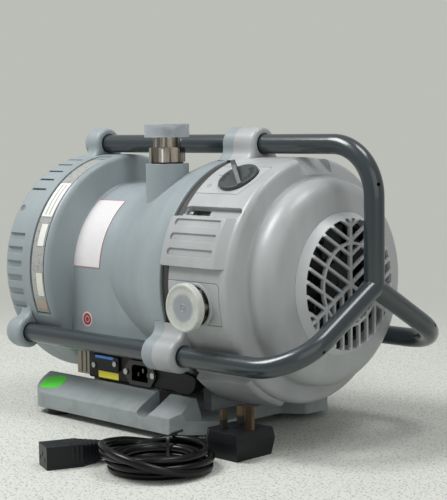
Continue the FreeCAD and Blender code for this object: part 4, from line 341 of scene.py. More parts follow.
@dataclass(frozen=True)
class CastPaint(Finish):
    """Textured paint over a casting: fine skin, slow unevenness, worn edges, a little darker in blotches low
    down.
    """

    grain: float = 900.0
    depth: float = 0.0001
    wave: float = 0.0004
    darkening_top: float = 0.02
    edge: float = 0.001
    mottle: float = 0.04
    rim: float = 0.0

    def sockets(self, g: Graph) -> Sockets:
        """Sockets; a rim is where the distance from the shaft's axis is large."""
        pebble = g.noise(self.grain, 3.0)
        slow = g.noise(9.0, 3.0)
        streak = g.noise(26.0, 3.0, g.stretched(1.0, 1.0, 0.22))
        colour = self.shades(g, slow * 0.35 + pebble * 0.15 + streak.ramp(0.3, 0.7) * 0.5, self.mottle)
        if self.rim:
            radius, _ = g.from_axis()
            outer = radius.ramp(self.rim - 0.0004, self.rim + 0.0004)
            colour = g.over(colour, (outer * 0.45, BRIGHT_RIM))
        rounded, edge = g.edges(self.edge)
        worn = edge * g.noise(170.0, 4.0).ramp(0.42, 0.62)
        # darker in blotches over the part's lowest few centimetres
        low_down = 1 - g.axes()[2].ramp(0.0, self.darkening_top)
        darker_low_down = low_down * g.noise(60.0, 4.0).ramp(0.35, 0.75) * 0.35
        speck = g.cells(240.0).ramp(0.1, 0.06) * g.noise(30.0).ramp(0.6, 0.72) * 0.25
        height = pebble * self.depth + g.noise(70.0) * self.wave
        return {
            "Base Color": g.over(colour, (worn * 0.3, WORN_EDGE), (darker_low_down, LOW_DOWN_TONE), (speck, SPECK)),
            "Roughness": self.roughness + (slow - 0.5) * 0.16 + (pebble - 0.5) * 0.1 - worn * 0.08,
            "Normal": g.relief(height, 1.0, 0.8, rounded),
        }


@dataclass(frozen=True)
class GlossEnamel(Finish):
    """Glossy tube paint with orange peel and faint rub marks along the tube."""

    def sockets(self, g: Graph) -> Sockets:
        """The shader's sockets."""
        peel = g.noise(300.0, 1.0)
        rub = g.noise(140.0, 4.0, g.stretched(0.12, 1.0, 1.0))
        marks = rub.ramp(0.6, 0.8)
        chips = g.cells(150.0).ramp(0.09, 0.05) * g.noise(22.0, 2.0).ramp(0.62, 0.68)
        return {
            "Base Color": g.over(self.shades(g, rub, 0.05), (chips * 0.4, CHIP)),
            "Roughness": self.roughness + marks * 0.1 + chips * 0.2,
            "Coat Weight": 0.55 - marks * 0.15,
            "Coat Roughness": 0.09,
            "Normal": g.relief(peel * 0.00003 + rub * 0.00002, 1.0),
        }


@dataclass(frozen=True)
class Moulded(Finish):
    """Moulded plastic or rubber with a spark-eroded grain and slight bloom."""

    grain: float = 1500.0
    depth: float = 0.00005
    spread: float = 0.08
    edge: float = 0.0007
    specular: float = 0.5

    def sockets(self, g: Graph) -> Sockets:
        """The shader's sockets."""
        grain = g.noise(self.grain, 2.0)
        bloom = g.noise(45.0, 4.0)
        scuff = g.noise(320.0, 3.0, g.stretched(1.0, 0.15, 0.4)).ramp(0.64, 0.76)
        rounded, edge = g.edges(self.edge)
        colour = self.shades(g, bloom * 0.8 + grain * 0.2, self.spread)
        worn = tuple(min(c * 0.75 + 0.14, 1.0) for c in self.colour)
        return {
            "Base Color": g.over(colour, (edge * 0.4 + scuff * 0.25, worn)),
            "Roughness": self.roughness + (bloom - 0.5) * 0.18 - edge * 0.06,
            "Specular IOR Level": self.specular,
            "Normal": g.relief(grain, self.depth, 1.0, rounded),
        }


@dataclass(frozen=True)
class Milky(Finish):
    """Thin milky plastic, clearer in the middle of its face than at its rim."""

    about: Turning = Turning.Z
    centre: Point = SHAFT
    clear: Colour = (0.66, 0.68, 0.7)
    clear_radius: float = 0.0128
    fade: float = 0.0022
    alpha: float = 0.66
    transmission: float = 0.55

    def sockets(self, g: Graph) -> Sockets:
        """Sockets; the clear disc is where the distance from the cap's axis is small."""
        cloud = g.noise(120.0, 3.0)
        radius, _ = g.from_axis(self.centre, self.about)
        outer, inner = self.clear_radius + self.fade, self.clear_radius - self.fade
        disc = (radius + (cloud - 0.5) * 0.0012).ramp(outer, inner)
        return {
            "Base Color": g.over(self.shades(g, cloud, 0.04), (disc, self.clear)),
            "Roughness": self.roughness + (cloud - 0.5) * 0.15,
            "Subsurface Weight": 0.3,
            "Subsurface Radius": (0.006, 0.006, 0.005),
            "Transmission Weight": self.transmission,
            "IOR": 1.49,
            "Alpha": self.alpha + (cloud - 0.5) * 0.2,
            "Normal": g.relief(g.noise(260.0, 2.0), 0.00008),
        }


@dataclass(frozen=True)
class TurnedMetal(Finish):
    """Metal with tool rings about an axis and faint tarnish; on some, painted reflections: light glint and
    dark shade streaks drawn out along the axis.
    """

    about: Turning = Turning.X
    centre: Point = SHAFT
    rings: float = 9000.0
    painted_reflections: float = 0.0

    def sockets(self, g: Graph) -> Sockets:
        """Sockets; its rings are the sine of the distance from the axis, and along it; painted reflection
        streaks are noise drawn out along the axis.
        """
        radius, along = g.from_axis(self.centre, self.about)
        rings = ((radius + along) * self.rings).stripes()
        tarnish = g.noise(90.0, 5.0).ramp(0.35, 0.8)
        colour = self.shades(g, tarnish * 0.75 + rings * 0.1, -0.1)
        # painted reflections: light glint and dark shade streaks along the axis stand in for what polished
        # metal reflects
        if self.painted_reflections:
            drawn_out = (0.06 if axis is self.about else 1.0 for axis in Turning)
            streak = g.noise(170.0, 2.0, g.stretched(*drawn_out))
            glint, shade = (streak.ramp(*ends) * self.painted_reflections for ends in ((0.5, 0.6), (0.44, 0.36)))
            colour = g.over(colour, (glint, NICKEL_GLINT), (shade, NICKEL_SHADE))
        return {
            "Base Color": colour,
            "Metallic": 1.0,
            "Roughness": self.roughness + tarnish * 0.16 + rings * 0.05,
            "Normal": g.relief(rings, 0.00001, 0.5),
        }


class Skin(Enum):
    """What the surface of a bare part is made of."""

    SAND = "sandy skin of a casting"
    SHEETS = "thin steel sheets stacked along the shaft"
    STRANDS = "wire wound round the shaft"


@dataclass(frozen=True)
class BareMetal(Finish):
    """Unpainted metal with one of three skins."""

    skin: Skin = Skin.SAND
    grain: float = 700.0
    sheet: float = 0.001
    strands: float = 6000.0

    def sockets(self, g: Graph) -> Sockets:
        """Sockets; sheets' edges are a sine along X, strands a sine of the distance from the shaft."""
        if self.skin is Skin.SAND:
            relief = g.noise(self.grain, 5.0)
            mask, spread = g.noise(40.0, 4.0) * 0.6 + relief * 0.4, 0.12
            metallic, rough, depth = 0.85, (relief - 0.5) * 0.2, 0.0002
        elif self.skin is Skin.SHEETS:
            relief = (g.axes()[0] * (ROUND / self.sheet)).stripes()
            mask, spread = relief * 0.6 + g.noise(80.0, 4.0) * 0.4, 0.18
            metallic, rough, depth = 0.9, relief * 0.1, 0.0001
        else:
            radius, _ = g.from_axis()
            relief = mask = ((radius + g.noise(60.0) * 0.004) * self.strands).stripes()
            spread, metallic, rough, depth = 0.22, 0.6, relief * 0.1, 0.0003
        return {
            "Base Color": self.shades(g, mask, spread),
            "Metallic": metallic,
            "Roughness": self.roughness + rough,
            "Normal": g.relief(relief, depth),
        }


@dataclass(frozen=True)
class PrintedLabel(Finish):
    """Bare printed film with a line round its edge and, on some, plain ruled lines; the edge line is print on
    most labels and painted shadow of the recess on the rating plate.
    """

    edge_ink_and_shadow: Colour = (0.8, 0.66, 0.68)
    line: float = 0.0009
    rules: int = 0
    scuffed: float = 0.0
    size: Pair = (0.04, 0.02)

    def sockets(self, g: Graph) -> Sockets:
        """Sockets; the line is near the edge, and rules lie where a sine across the label is near its top."""
        u, v = g.patch()
        x, y = u * self.size[0], v * self.size[1]
        edge = x.least(self.size[0] - x).least(y.least(self.size[1] - y))
        colour = self.shades(g, g.noise(200.0, 3.0), 0.025)
        if self.rules:
            row = (u * (ROUND * (self.rules + 1)) - math.pi / 2).wave() * -1
            ruled = (row > 0.8) * (edge > 0.0028)
            colour = g.over(colour, (ruled * 0.75, INK))
        if self.scuffed:
            rub = g.noise(420.0, 5.0).ramp(0.5, 0.66) * self.scuffed
            colour = g.over(colour, (rub, SCUFF))
        return {
            # edge line: print on most labels; on the rating plate, dark painted shadow where the plate sits
            # in its recess
            "Base Color": g.over(colour, (edge < self.line, self.edge_ink_and_shadow)),
            "Roughness": self.roughness + (g.noise(150.0, 3.0) - 0.5) * 0.1,
            "Coat Weight": 0.2,
            "Normal": g.relief(g.noise(300.0, 2.0), 0.00002),
        }


@dataclass(frozen=True)
class RingSticker(PrintedLabel):
    """Round sticker: pale rim, dark disc with a pale circle on it."""

    rim: Colour = (0.88, 0.78, 0.77)
    middle: Colour = (0.84, 0.62, 0.6)

    def sockets(self, g: Graph) -> Sockets:
        """Sockets; each ring is where the distance from the middle lies in a range."""
        u, v = g.patch()
        away = ((u - 0.5) * (u - 0.5) + (v - 0.5) * (v - 0.5)) ** 0.5
        away = away + (g.noise(500.0) - 0.5) * 0.03
        ring = away.ramp(0.15, 0.18) * away.ramp(0.25, 0.22)
        layers = (ring, self.middle), (away.ramp(0.38, 0.41), self.rim)
        return {
            "Base Color": g.over(self.shades(g, g.noise(400.0), 0.06), *layers),
            "Roughness": self.roughness + (g.noise(200.0) - 0.5) * 0.1,
        }


@dataclass(frozen=True)
class SleevedPins(Finish):
    """Tarnished pins of a plug; the two short ones wear a dark sleeve at their root."""

    sleeve_top: float = 0.0335
    sleeve_end_x: float = 0.134

    def sockets(self, g: Graph) -> Sockets:
        """Sockets; the sleeve is where z is low on the pins that lie at small x."""
        x, _, z = g.axes()
        sleeve = (z < self.sleeve_top) * (x < self.sleeve_end_x)
        tarnish = g.noise(130.0, 5.0, g.stretched(1.0, 1.0, 0.2)).ramp(0.35, 0.75)
        return {
            "Base Color": g.over(self.shades(g, tarnish, -0.16), (sleeve, SLEEVE)),
            "Metallic": 1 - sleeve,
            "Roughness": self.roughness + tarnish * 0.2 + sleeve * 0.15,
            "Normal": g.relief(tarnish, 0.00003),
        }


def middle_of(node: str) -> Point:
    """The middle of a CAD node's box."""
    low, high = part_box(node)
    return tuple((a + b) / 2 for a, b in zip(low, high))


FINISHES: dict[str, Finish] = dict(
    foot_paint=CastPaint((0.575, 0.61, 0.615), 0.5, darkening_top=0.05),
    body_paint=CastPaint((0.565, 0.605, 0.62), 0.38, mottle=0.055),
    rear_cover_paint=CastPaint((0.565, 0.605, 0.62), 0.45),
    cowl_paint=CastPaint((0.655, 0.668, 0.672), 0.33, depth=0.00006, wave=0.0002, mottle=0.075),
    panel_plastic=Moulded((0.67, 0.684, 0.688), 0.4, 1100.0, 0.00006, 0.03),
    grille_paint=CastPaint((0.66, 0.675, 0.68), 0.36, depth=0.00006, wave=0.0002, rim=0.059),
    tube_paint=GlossEnamel((0.17, 0.208, 0.225), 0.28),
    band_rubber=Moulded((0.225, 0.215, 0.21), 0.6),
    foot_rubber=Moulded((0.1, 0.1, 0.1), 0.75),
    seal_rubber=Moulded((0.1, 0.1, 0.1), 0.6),
    knob_plastic=Moulded((0.225, 0.25, 0.255), 0.42, 1300.0),
    cap_plastic=Milky(MILK, 0.34),
    screw_steel=TurnedMetal((0.62, 0.62, 0.62), 0.3),
    shaft_steel=TurnedMetal((0.68, 0.68, 0.69), 0.22),
    bearing_steel=TurnedMetal((0.72, 0.72, 0.74), 0.18),
    lamination_steel=BareMetal((0.38, 0.38, 0.4), 0.45, Skin.SHEETS),
    winding_copper=BareMetal((0.68, 0.36, 0.18), 0.35, Skin.STRANDS),
    cast_weight=BareMetal((0.36, 0.36, 0.37), 0.6),
    cast_aluminium=BareMetal((0.72, 0.72, 0.73), 0.5),
    scroll_aluminium=TurnedMetal((0.78, 0.78, 0.79), 0.28, rings=12000.0),
    tip_seal_plastic=Moulded((0.82, 0.76, 0.64), 0.55),
    bellows_steel=TurnedMetal((0.72, 0.72, 0.72), 0.2),
    fan_plastic=Moulded((0.1, 0.105, 0.11), 0.5),
    box_plastic=Moulded((0.06, 0.067, 0.08), 0.4, specular=0.25),
    terminal_metal=BareMetal((0.58, 0.56, 0.52), 0.42, grain=300.0),
    cover_plastic=Moulded((0.085, 0.096, 0.115), 0.4, specular=0.25),
    inlet_plastic=Moulded((0.05, 0.05, 0.05), 0.25, 2200.0, 0.00002),
    contact_metal=TurnedMetal((0.4, 0.39, 0.37), 0.3),
    capacitor_can=TurnedMetal((0.72, 0.72, 0.72), 0.32),
    lead_rubber=Moulded((0.035, 0.035, 0.04), 0.24, 2500.0, 0.00002, edge=0.0003, specular=0.3),
    plug_plastic=Moulded((0.075, 0.086, 0.1), 0.38, 1800.0, specular=0.3),
    tie_plastic=Moulded((0.1, 0.1, 0.1), 0.4),
)
OWN_FINISHES: dict[str, Finish] = dict(
    # both adaptors carry painted reflection streaks, light glints and dark shade, along their axes
    inlet_adaptor=TurnedMetal(NICKEL, 0.12, Turning.Z, middle_of("inlet_adaptor"), painted_reflections=0.8),
    inlet_strainer=TurnedMetal(NICKEL, 0.25, Turning.Z, middle_of("inlet_adaptor")),
    exhaust_adaptor=TurnedMetal(
        (0.66, 0.64, 0.6), 0.16, Turning.Y, middle_of("exhaust_adaptor"), painted_reflections=0.5),
    ballast_valve=TurnedMetal((0.66, 0.62, 0.58), 0.26),
    plug_pins=SleevedPins((0.38, 0.325, 0.26), 0.32),
)


@cache
def slot_material(slot: str) -> Material:
    """A slot's material, made once."""
    return FINISHES[slot].dress(slot)


def dress_nodes() -> None:
    """Put a finish on every CAD node: its own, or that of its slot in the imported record."""
    slots = {part["node"]: part["material_slot"] for part in frame["record"]["subparts"]}
    for name, node in frame["nodes"].items():
        own = OWN_FINISHES.get(name)
        finish = own.dress("finish_of_" + name) if own else slot_material(slots[name])
        if node.data.materials:
            node.data.materials[0] = finish
        else:
            node.data.materials.append(finish)


def dressed(piece: Piece, slot: str, body: str = "pump", material: Material | None = None) -> Piece:
    """Put a new piece in its material and on its body.

    Args:
        piece: the new piece.
        slot: its material slot.
        body: the body that it rides on.
        material: a material of its own, in place of the slot's.

    Returns:
        The piece.
    """
    piece.data.materials.append(material or slot_material(slot))
    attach(piece, body)
    LOG.info("piece %s", piece.name)
    return piece


# Surfaces


def unit(vector: np.ndarray | Point) -> np.ndarray:
    """The vector, or each row of vectors, over its length."""
    return np.array(vector, float) / np.linalg.norm(vector, axis=-1, keepdims=True)


def add_object(name: str, data: bpy.types.ID) -> Piece:
    """Put a new object in the scene."""
    made = bpy.data.objects.new(name, data)
    bpy.context.scene.collection.objects.link(made)
    return made


def sheet(name: str, points: np.ndarray, wrap: bool = False, uv: np.ndarray | None = None) -> Piece:
    """Mesh of one surface, or of many alike, worked out on a grid.

    Args:
        name: the piece's name.
        points: rows by columns by 3, in metres, or sheets by rows by columns by 3.
        wrap: the last column joins the first.
        uv: rows by columns by 2 for the UV map; without it, u and v run evenly from 0 to 1.

    Returns:
        The object, with its UV map and smooth faces.
    """
    grids = points if points.ndim == 4 else points[None]
    sheets, rows, cols = grids.shape[:3]
    i = np.arange(rows - 1)[:, None]
    j = np.arange(cols if wrap else cols - 1)[None, :]
    left, right = j, (j + 1) % cols
    near, far = i * cols, (i + 1) * cols
    quads = np.stack([near + left, far + left, far + right, near + right], axis=-1).reshape(-1, 4)
    if uv is None:
        u, v = np.meshgrid(np.linspace(0, 1, rows), np.linspace(0, 1, cols), indexing="ij")
        uv = np.stack([u, v], -1)
    corners = np.tile(uv.reshape(-1, 2)[quads], (sheets, 1, 1))
    quads = (quads[None] + (np.arange(sheets) * rows * cols)[:, None, None]).reshape(-1, 4)
    mesh = bpy.data.meshes.new(name)
    mesh.from_pydata(grids.reshape(-1, 3).tolist(), [], quads.tolist())
    mesh.uv_layers.new(name="UVMap").data.foreach_set("uv", corners.reshape(-1).astype(np.float32))
    mesh.polygons.foreach_set("use_smooth", np.ones(len(quads), bool))
    mesh.update()
    return add_object(name, mesh)


def shell(name: str, points: np.ndarray) -> Piece:
    """Closed shell: doubled points are merged and its faces turned outward.

    Args:
        name: the piece's name.
        points: as for a sheet; the last column joins the first.

    Returns:
        The object.
    """
    piece = sheet(name, points, wrap=True)
    made = bmesh.new()
    made.from_mesh(piece.data)
    bmesh.ops.remove_doubles(made, verts=made.verts, dist=1e-6)
    bmesh.ops.dissolve_degenerate(made, dist=1e-7, edges=made.edges)
    bmesh.ops.recalc_face_normals(made, faces=made.faces)
    made.to_mesh(piece.data)
    made.free()
    return piece


def film(name: str, points: np.ndarray, uv: np.ndarray | None = None) -> Piece:
    """Thin film: a sheet with a thickness below its outer face.

    Args:
        name: the piece's name.
        points: as for a sheet.
        uv: as for a sheet.

    Returns:
        The object.
    """
    piece = sheet(name, points, uv=uv)
    solid = piece.modifiers.new("thickness", "SOLIDIFY")
    solid.thickness = FILM_LIFT * 2
    solid.offset = -1
    solid.use_even_offset = True
    return piece


def turned(across: np.ndarray, up: np.ndarray, angle: float | np.ndarray) -> list[np.ndarray]:
    """Places on a plane turned by an angle: across cos - up sin, across sin + up cos."""
    c, s = np.cos(angle), np.sin(angle)
    return [across * c - up * s, across * s + up * c]


def rounded_line(corners: list[Point], steps: int = 6) -> np.ndarray:
    """Open line through (a, b, radius) corners: each corner becomes an arc tangent to both runs.

    Args:
        corners: points in a plane, each with the radius of its rounding.
        steps: points on each arc.

    Returns:
        Array of points by 2.
    """
    spots = np.array(corners, float)
    line = [spots[:1, :2]]
    for back, here, ahead in zip(spots[:, :2], spots[1:], spots[2:, :2]):
        p, radius = here[:2], here[2]
        to_back, to_ahead = unit(back - p), unit(ahead - p)
        half = math.acos(np.clip(to_back @ to_ahead, -1, 1)) / 2
        if radius <= 0 or half > math.pi / 2 - NEARLY_STRAIGHT:
            line.append(p[None])
            continue
        centre = p + unit(to_back + to_ahead) * radius / math.sin(half)
        start, end = (p + way * radius / math.tan(half) - centre for way in (to_back, to_ahead))
        a0 = math.atan2(start[1], start[0])
        turn = (math.atan2(end[1], end[0]) - a0 + math.pi) % ROUND - math.pi
        line.append(centre + polar(radius, a0 + np.linspace(0, turn, steps)))
    return np.concatenate([*line, spots[-1:, :2]])


def polar(radius: float | np.ndarray, angle: float | np.ndarray) -> np.ndarray:
    """Places at a radius and an angle: (radius cos angle, radius sin angle)."""
    return np.stack([radius * np.cos(angle), radius * np.sin(angle)], -1)


def round_shaft(x: np.ndarray, radius: float, angle: np.ndarray) -> np.ndarray:
    """Points round the shaft: (x, radius cos angle, shaft height + radius sin angle)."""
    return np.concatenate([x[..., None], polar(radius, angle) + [0.0, SHAFT_HEIGHT]], -1)


def steps_round(count: int) -> np.ndarray:
    """Angles of even steps once round."""
    return np.linspace(0, ROUND, count, endpoint=False)


def turned_surface(profile: np.ndarray, foot: Point, axis: Point, count: int = 96) -> np.ndarray:
    """Surface of revolution: point(s, t) = foot + height(s) axis + radius(s) (cos t, sin t) across it.

    Args:
        profile: (radius, height) pairs.
        foot: where height is nought on the axis.
        axis: unit direction.
        count: steps round.

    Returns:
        Grid of points.
    """
    along = np.array(axis, float)
    side = unit(np.cross(along, X_AXIS if abs(along[0]) < 0.5 else Y_AXIS))
    spokes = polar(1.0, steps_round(count)) @ [side, np.cross(along, side)]
    r, h = profile.T[..., None, None]
    return np.array(foot) + h * along + r * spokes


def rounded_patch(size: Pair, radius: float, rows: int = 25, cols: int = 25) -> np.ndarray:
    """Rounded rectangle as a grid whose rows run across it, each as wide as the outline there.

    The outline's half width at height y is width/2 - radius + sqrt(radius^2 - (|y| - height/2 + radius)^2)
    within the corners, and width/2 elsewhere.

    Args:
        size: width and height.
        radius: of the corners.
        rows: how many points lie across it.
        cols: how many lie up it, closer towards the ends.

    Returns:
        Grid of (across, up) points about the middle.
    """
    width, height = size
    a = np.linspace(-1, 1, rows)
    b = np.sin(np.linspace(-1, 1, cols) * math.pi / 2)
    y = b * height / 2
    over = np.clip(np.abs(y) - (height / 2 - radius), 0, radius)
    half = width / 2 - radius + np.sqrt(np.maximum(radius ** 2 - over ** 2, 0))
    return np.stack([a[:, None] * half[None], np.broadcast_to(y[None], (rows, cols))], -1)


def rounded_section(t: np.ndarray, squareness: float | np.ndarray) -> tuple[np.ndarray, np.ndarray]:
    """Superellipse of half size one: cos t and sin t raised to 2/n with their signs, n = squareness."""
    power = 2 / np.asarray(squareness)
    across, up = np.cos(t), np.sin(t)
    return np.sign(across) * np.abs(across) ** power, np.sign(up) * np.abs(up) ** power


def capped(grid: np.ndarray, ends: np.ndarray) -> np.ndarray:
    """A tube's grid with both its ends drawn in to a point."""
    first, last = (np.broadcast_to(end, (1, *grid.shape[1:])) for end in ends)
    return np.concatenate([first, grid, last])


def tube_along(path: np.ndarray, half: Pair, side: np.ndarray, closed: bool) -> np.ndarray:
    """Tube along a path: point(s, t) = path(s) + half0 cos t side + half1 sin t (side x direction).

    Args:
        path: points along the middle.
        half: half widths of the oval section, first the one along side.
        side: direction that the section keeps.
        closed: whether the path's last point meets its first; else both ends are closed.

    Returns:
        Grid of points, whose columns go round the section.
    """
    run = unit(np.roll(path, -1, 0) - np.roll(path, 1, 0) if closed else np.gradient(path, axis=0))
    kept = np.broadcast_to(side, run.shape)
    kept = unit(kept - (kept * run).sum(1, keepdims=True) * run)
    t = steps_round(16)[:, None, None]
    ring = half[0] * np.cos(t) * kept + half[1] * np.sin(t) * np.cross(kept, run)
    grid = (path[None] + ring).transpose(1, 0, 2)
    return np.concatenate([grid, grid[:1]]) if closed else capped(grid, path[[0, -1]])


# Sub-assemblies


@dataclass
class PortCap:
    """Push-on cap: thin cup with a raised ring, a dished middle and a moulding nib.

    The crown's rows are radius, depth below the top and rounding, in tenths of a millimetre.
    """

    node: str
    body: str
    about: Turning
    axis: Point
    radius: float = 0.0225
    solid_height: float = 0.013
    height: float = 0.013
    inner_radius: float = 0.0203
    top: float = 0.0025
    milk: Milky = Milky(MILK, 0.34)
    crown: tuple[Point, ...] = (
        (0, 5, 0), (10, 5, 2), (12, 10, 2), (29, 10, 2), (34, 4, 3), (39, 10, 2),
        (170, 8, 10), (192, 4, 4), (198, 0, 3),
    )

    def foot(self) -> Point:
        """The middle of the cap's open end, below the solid's outer face."""
        axis = Vector(self.axis)
        return tuple(Vector(middle_of(self.node)) + axis * self.solid_height / 2 - axis * self.height)

    def profile(self) -> np.ndarray:
        """Outline from the middle of the outside, over the rim and back up the inside."""
        h, r, inner = self.height, self.radius, self.inner_radius
        crown = np.array(self.crown) * 1e-4
        crown[:, 1] = h - crown[:, 1]
        return rounded_line([
            *crown, (r - 0.0002, h, 0.0012), (r - 0.0002, 0.0012, 0.0003), (r, 0.0008, 0.0003),
            (r, 0.0, 0.0003), (inner, 0.0, 0.0003), (inner, h - self.top, 0.0008), (0.0, h - self.top, 0.0),
        ])

    def build(self) -> Piece:
        """Make the cap in place of its plain solid."""
        points = turned_surface(self.profile(), self.foot(), self.axis)
        piece = shell(self.node + "_moulded", points)
        milk = replace(self.milk, about=self.about, centre=self.foot())
        dressed(piece, "cap_plastic", self.body, milk.dress(self.node + "_milk"))
        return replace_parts(piece, self.node)


@dataclass
class Label:
    """Thin film with rounded corners on a face of the pump."""

    name: str
    finish: PrintedLabel
    slot: str
    corner: float
    columns = 25

    def size(self) -> Pair:
        """Width and height."""
        raise NotImplementedError

    def laid(self, flat: np.ndarray) -> np.ndarray:
        """Points of the flat (across, up) grid on the face."""
        raise NotImplementedError

    def build(self) -> Piece:
        """Make the label."""
        size = self.size()
        flat = rounded_patch(size, self.corner, cols=self.columns)
        piece = film(self.name, self.laid(flat), flat / size + 0.5)
        return dressed(piece, self.slot, material=replace(self.finish, size=size).dress(self.name))


@dataclass
class CurvedLabel(Label):
    """Label on a round casting, set by its reach along X and its angles round the shaft."""

    x: Pair
    angles: Pair
    carrier: float
    columns = 49

    def size(self) -> Pair:
        """Reach along X, and the arc at the carrier's radius."""
        low, high = np.radians(self.angles)
        return self.x[1] - self.x[0], (high - low) * (self.carrier + FILM_LIFT)

    def laid(self, flat: np.ndarray) -> np.ndarray:
        """x = middle + across, angle = middle + up / radius, at the carrier's radius."""
        r = self.carrier + FILM_LIFT
        angle = np.radians(self.angles).sum() / 2 + flat[..., 1] / r
        return round_shaft(sum(self.x) / 2 + flat[..., 0], r, angle)


@dataclass
class FlatLabel(Label):
    """Label on a flat face: middle, width and height, a turn in degrees, and the way up."""

    middle: Point
    sides: Pair
    turn: float = 0.0
    up: Point = (0.0, 0.0, 1.0)

    def size(self) -> Pair:
        """Width and height."""
        return self.sides

    def laid(self, flat: np.ndarray) -> np.ndarray:
        """point = middle + a across + b up + lift outward, where (a, b) is turned and across is X."""
        a, b = turned(flat[..., :1], flat[..., 1:], math.radians(self.turn))
        up = unit(self.up)
        return np.array(self.middle) + np.cross(X_AXIS, up) * FILM_LIFT + a * X_AXIS + b * up


@dataclass
class Labels:
    """Every label, patch and tag on the pump, all bare or with plain lines."""

    band: Pair = (-0.153, -0.1314)
    # the plate's dark edge line is painted shadow of the recess round it
    plate: PrintedLabel = PrintedLabel((0.64, 0.65, 0.64), 0.3, (0.15, 0.16, 0.165), 0.0012, scuffed=0.55)
    waist: PrintedLabel = PrintedLabel(WHITE_FILM, 0.34, (0.7, 0.45, 0.49), 0.0008)
    patch: PrintedLabel = PrintedLabel((0.88, 0.89, 0.87), 0.4, (0.5, 0.51, 0.5), 0.0005)

    def curved(self) -> list[CurvedLabel]:
        """The labels on round faces: one on the waist, and a long plate with four patches on it."""
        made = [
            CurvedLabel("waist_label", self.waist, "panel_plastic", 0.0012,
                        (-0.1192, -0.0772), (125.2, 176.4), WAIST_RADIUS),
            CurvedLabel("rating_plate", self.plate, "terminal_metal", 0.0016,
                        self.band, (105.0, 201.6), BAND_RADIUS),
        ]
        for place, insets, angles, look in (
            ("top", (0.0014, 0.0018), (130.0, 151.5), {"rules": 2}),
            ("middle", (0.0076, 0.003), (155.0, 167.0), {}),
            ("low", (0.0084, 0.002), (180.0, 192.4), {"colour": (0.84, 0.84, 0.8)}),
            ("foot", (0.0044, 0.002), (193.6, 200.2), {"colour": (0.66, 0.6, 0.54), "scuffed": 0.4}),
        ):
            x = (self.band[0] + insets[0], self.band[1] - insets[1])
            made.append(CurvedLabel("rating_patch_" + place, replace(self.patch, **look), "panel_plastic",
                                    0.0004, x, angles, BAND_RADIUS + 0.0002))
        return made

    def flat(self) -> list[FlatLabel]:
        """The labels on flat faces."""
        blue, yellow, green = (0.2, 0.5, 0.82), (0.97, 0.93, 0.18), (0.34, 0.88, 0.22)
        return [
            FlatLabel("earth_sticker", RingSticker((0.56, 0.2, 0.22), 0.4), "panel_plastic", 0.00774,
                      (-0.0985, -WAIST_RADIUS, 0.102), (0.0155, 0.0155)),
            FlatLabel("blue_tag", PrintedLabel(blue, 0.4, blue), "cover_plastic", 0.0004,
                      (-0.08, BOX_FACE_Y - FACE_PLATE, 0.0633), (0.028, 0.0027)),
            FlatLabel("yellow_tag", PrintedLabel(yellow, 0.4, (0.78, 0.74, 0.12), 0.0005), "cover_plastic",
                      0.0006, (-0.0766, BOX_FACE_Y, 0.0448), (0.032, 0.0072)),
            FlatLabel("green_tag", PrintedLabel(green, 0.5, (0.3, 0.8, 0.2), 0.0005), "foot_paint",
                      0.0095, (-0.1468, -0.0965, 0.03158), (0.031, 0.021), 14.0, (0.0, 0.028, 0.0155)),
        ]

    def build(self) -> None:
        """Make them all."""
        for label in (*self.curved(), *self.flat()):
            label.build()


@dataclass
class KnobMarks:
    """Plain marks on the gas ballast knob and on the panel beside it."""

    x: float = 0.0948
    angle: float = math.radians(121.6)
    disc_radius: float = 0.1197
    tick: Pair = (0.0044, 0.0015)
    bar: Pair = (0.0052, 0.0007)

    def strokes(self, places: np.ndarray, turns: np.ndarray, size: Pair) -> np.ndarray:
        """Flat strokes of one size at (across, up) places, each turned: grids of (across, up)."""
        flat = rounded_patch(size, min(size) * 0.45, 3, 7)
        marks = np.stack(turned(flat[None, ..., 0], flat[None, ..., 1], turns[:, None, None]), -1)
        return marks + places[:, None, None]

    def on_disc(self) -> np.ndarray:
        """Two groups of ticks along the radius on the knob's face: place = r (cos t, sin t)."""
        t = np.radians(np.concatenate([np.linspace(172, 214, 4), np.linspace(-28, 62, 8)]))
        r = np.concatenate([[0.0148, 0.0152, 0.0148, 0.0152], np.tile([0.015, 0.0143], 4)])
        marks = self.strokes(polar(r, t), t, self.tick)
        out = np.array([0.0, *polar(1.0, self.angle)])
        middle = np.array([self.x, 0.0, SHAFT_HEIGHT]) + out * (self.disc_radius + FILM_LIFT)
        return middle + marks[..., :1] * X_AXIS + marks[..., 1:] * np.cross(out, X_AXIS)

    def on_panel(self) -> np.ndarray:
        """Three faint bars round the panel, left of the disc: angle = knob's angle - up / radius."""
        places = np.array([[-0.0262, 0.0028], [-0.0286, -0.012], [-0.0272, -0.0146]])
        marks = self.strokes(places, np.radians([0.0, 20.0, 20.0]), self.bar)
        r = BARREL_RADIUS + FILM_LIFT
        return round_shaft(self.x + marks[..., 0], r, self.angle - marks[..., 1] / r)

    def build(self) -> None:
        """Make both sets of marks."""
        for name, points, colour, slot, body in (
            ("knob_marks", self.on_disc(), (0.06, 0.065, 0.065), "knob_plastic", "knob"),
            ("panel_marks", self.on_panel(), (0.55, 0.56, 0.56), "panel_plastic", "pump"),
        ):
            dressed(film(name, points), slot, body, Moulded(colour, 0.6).dress(name))


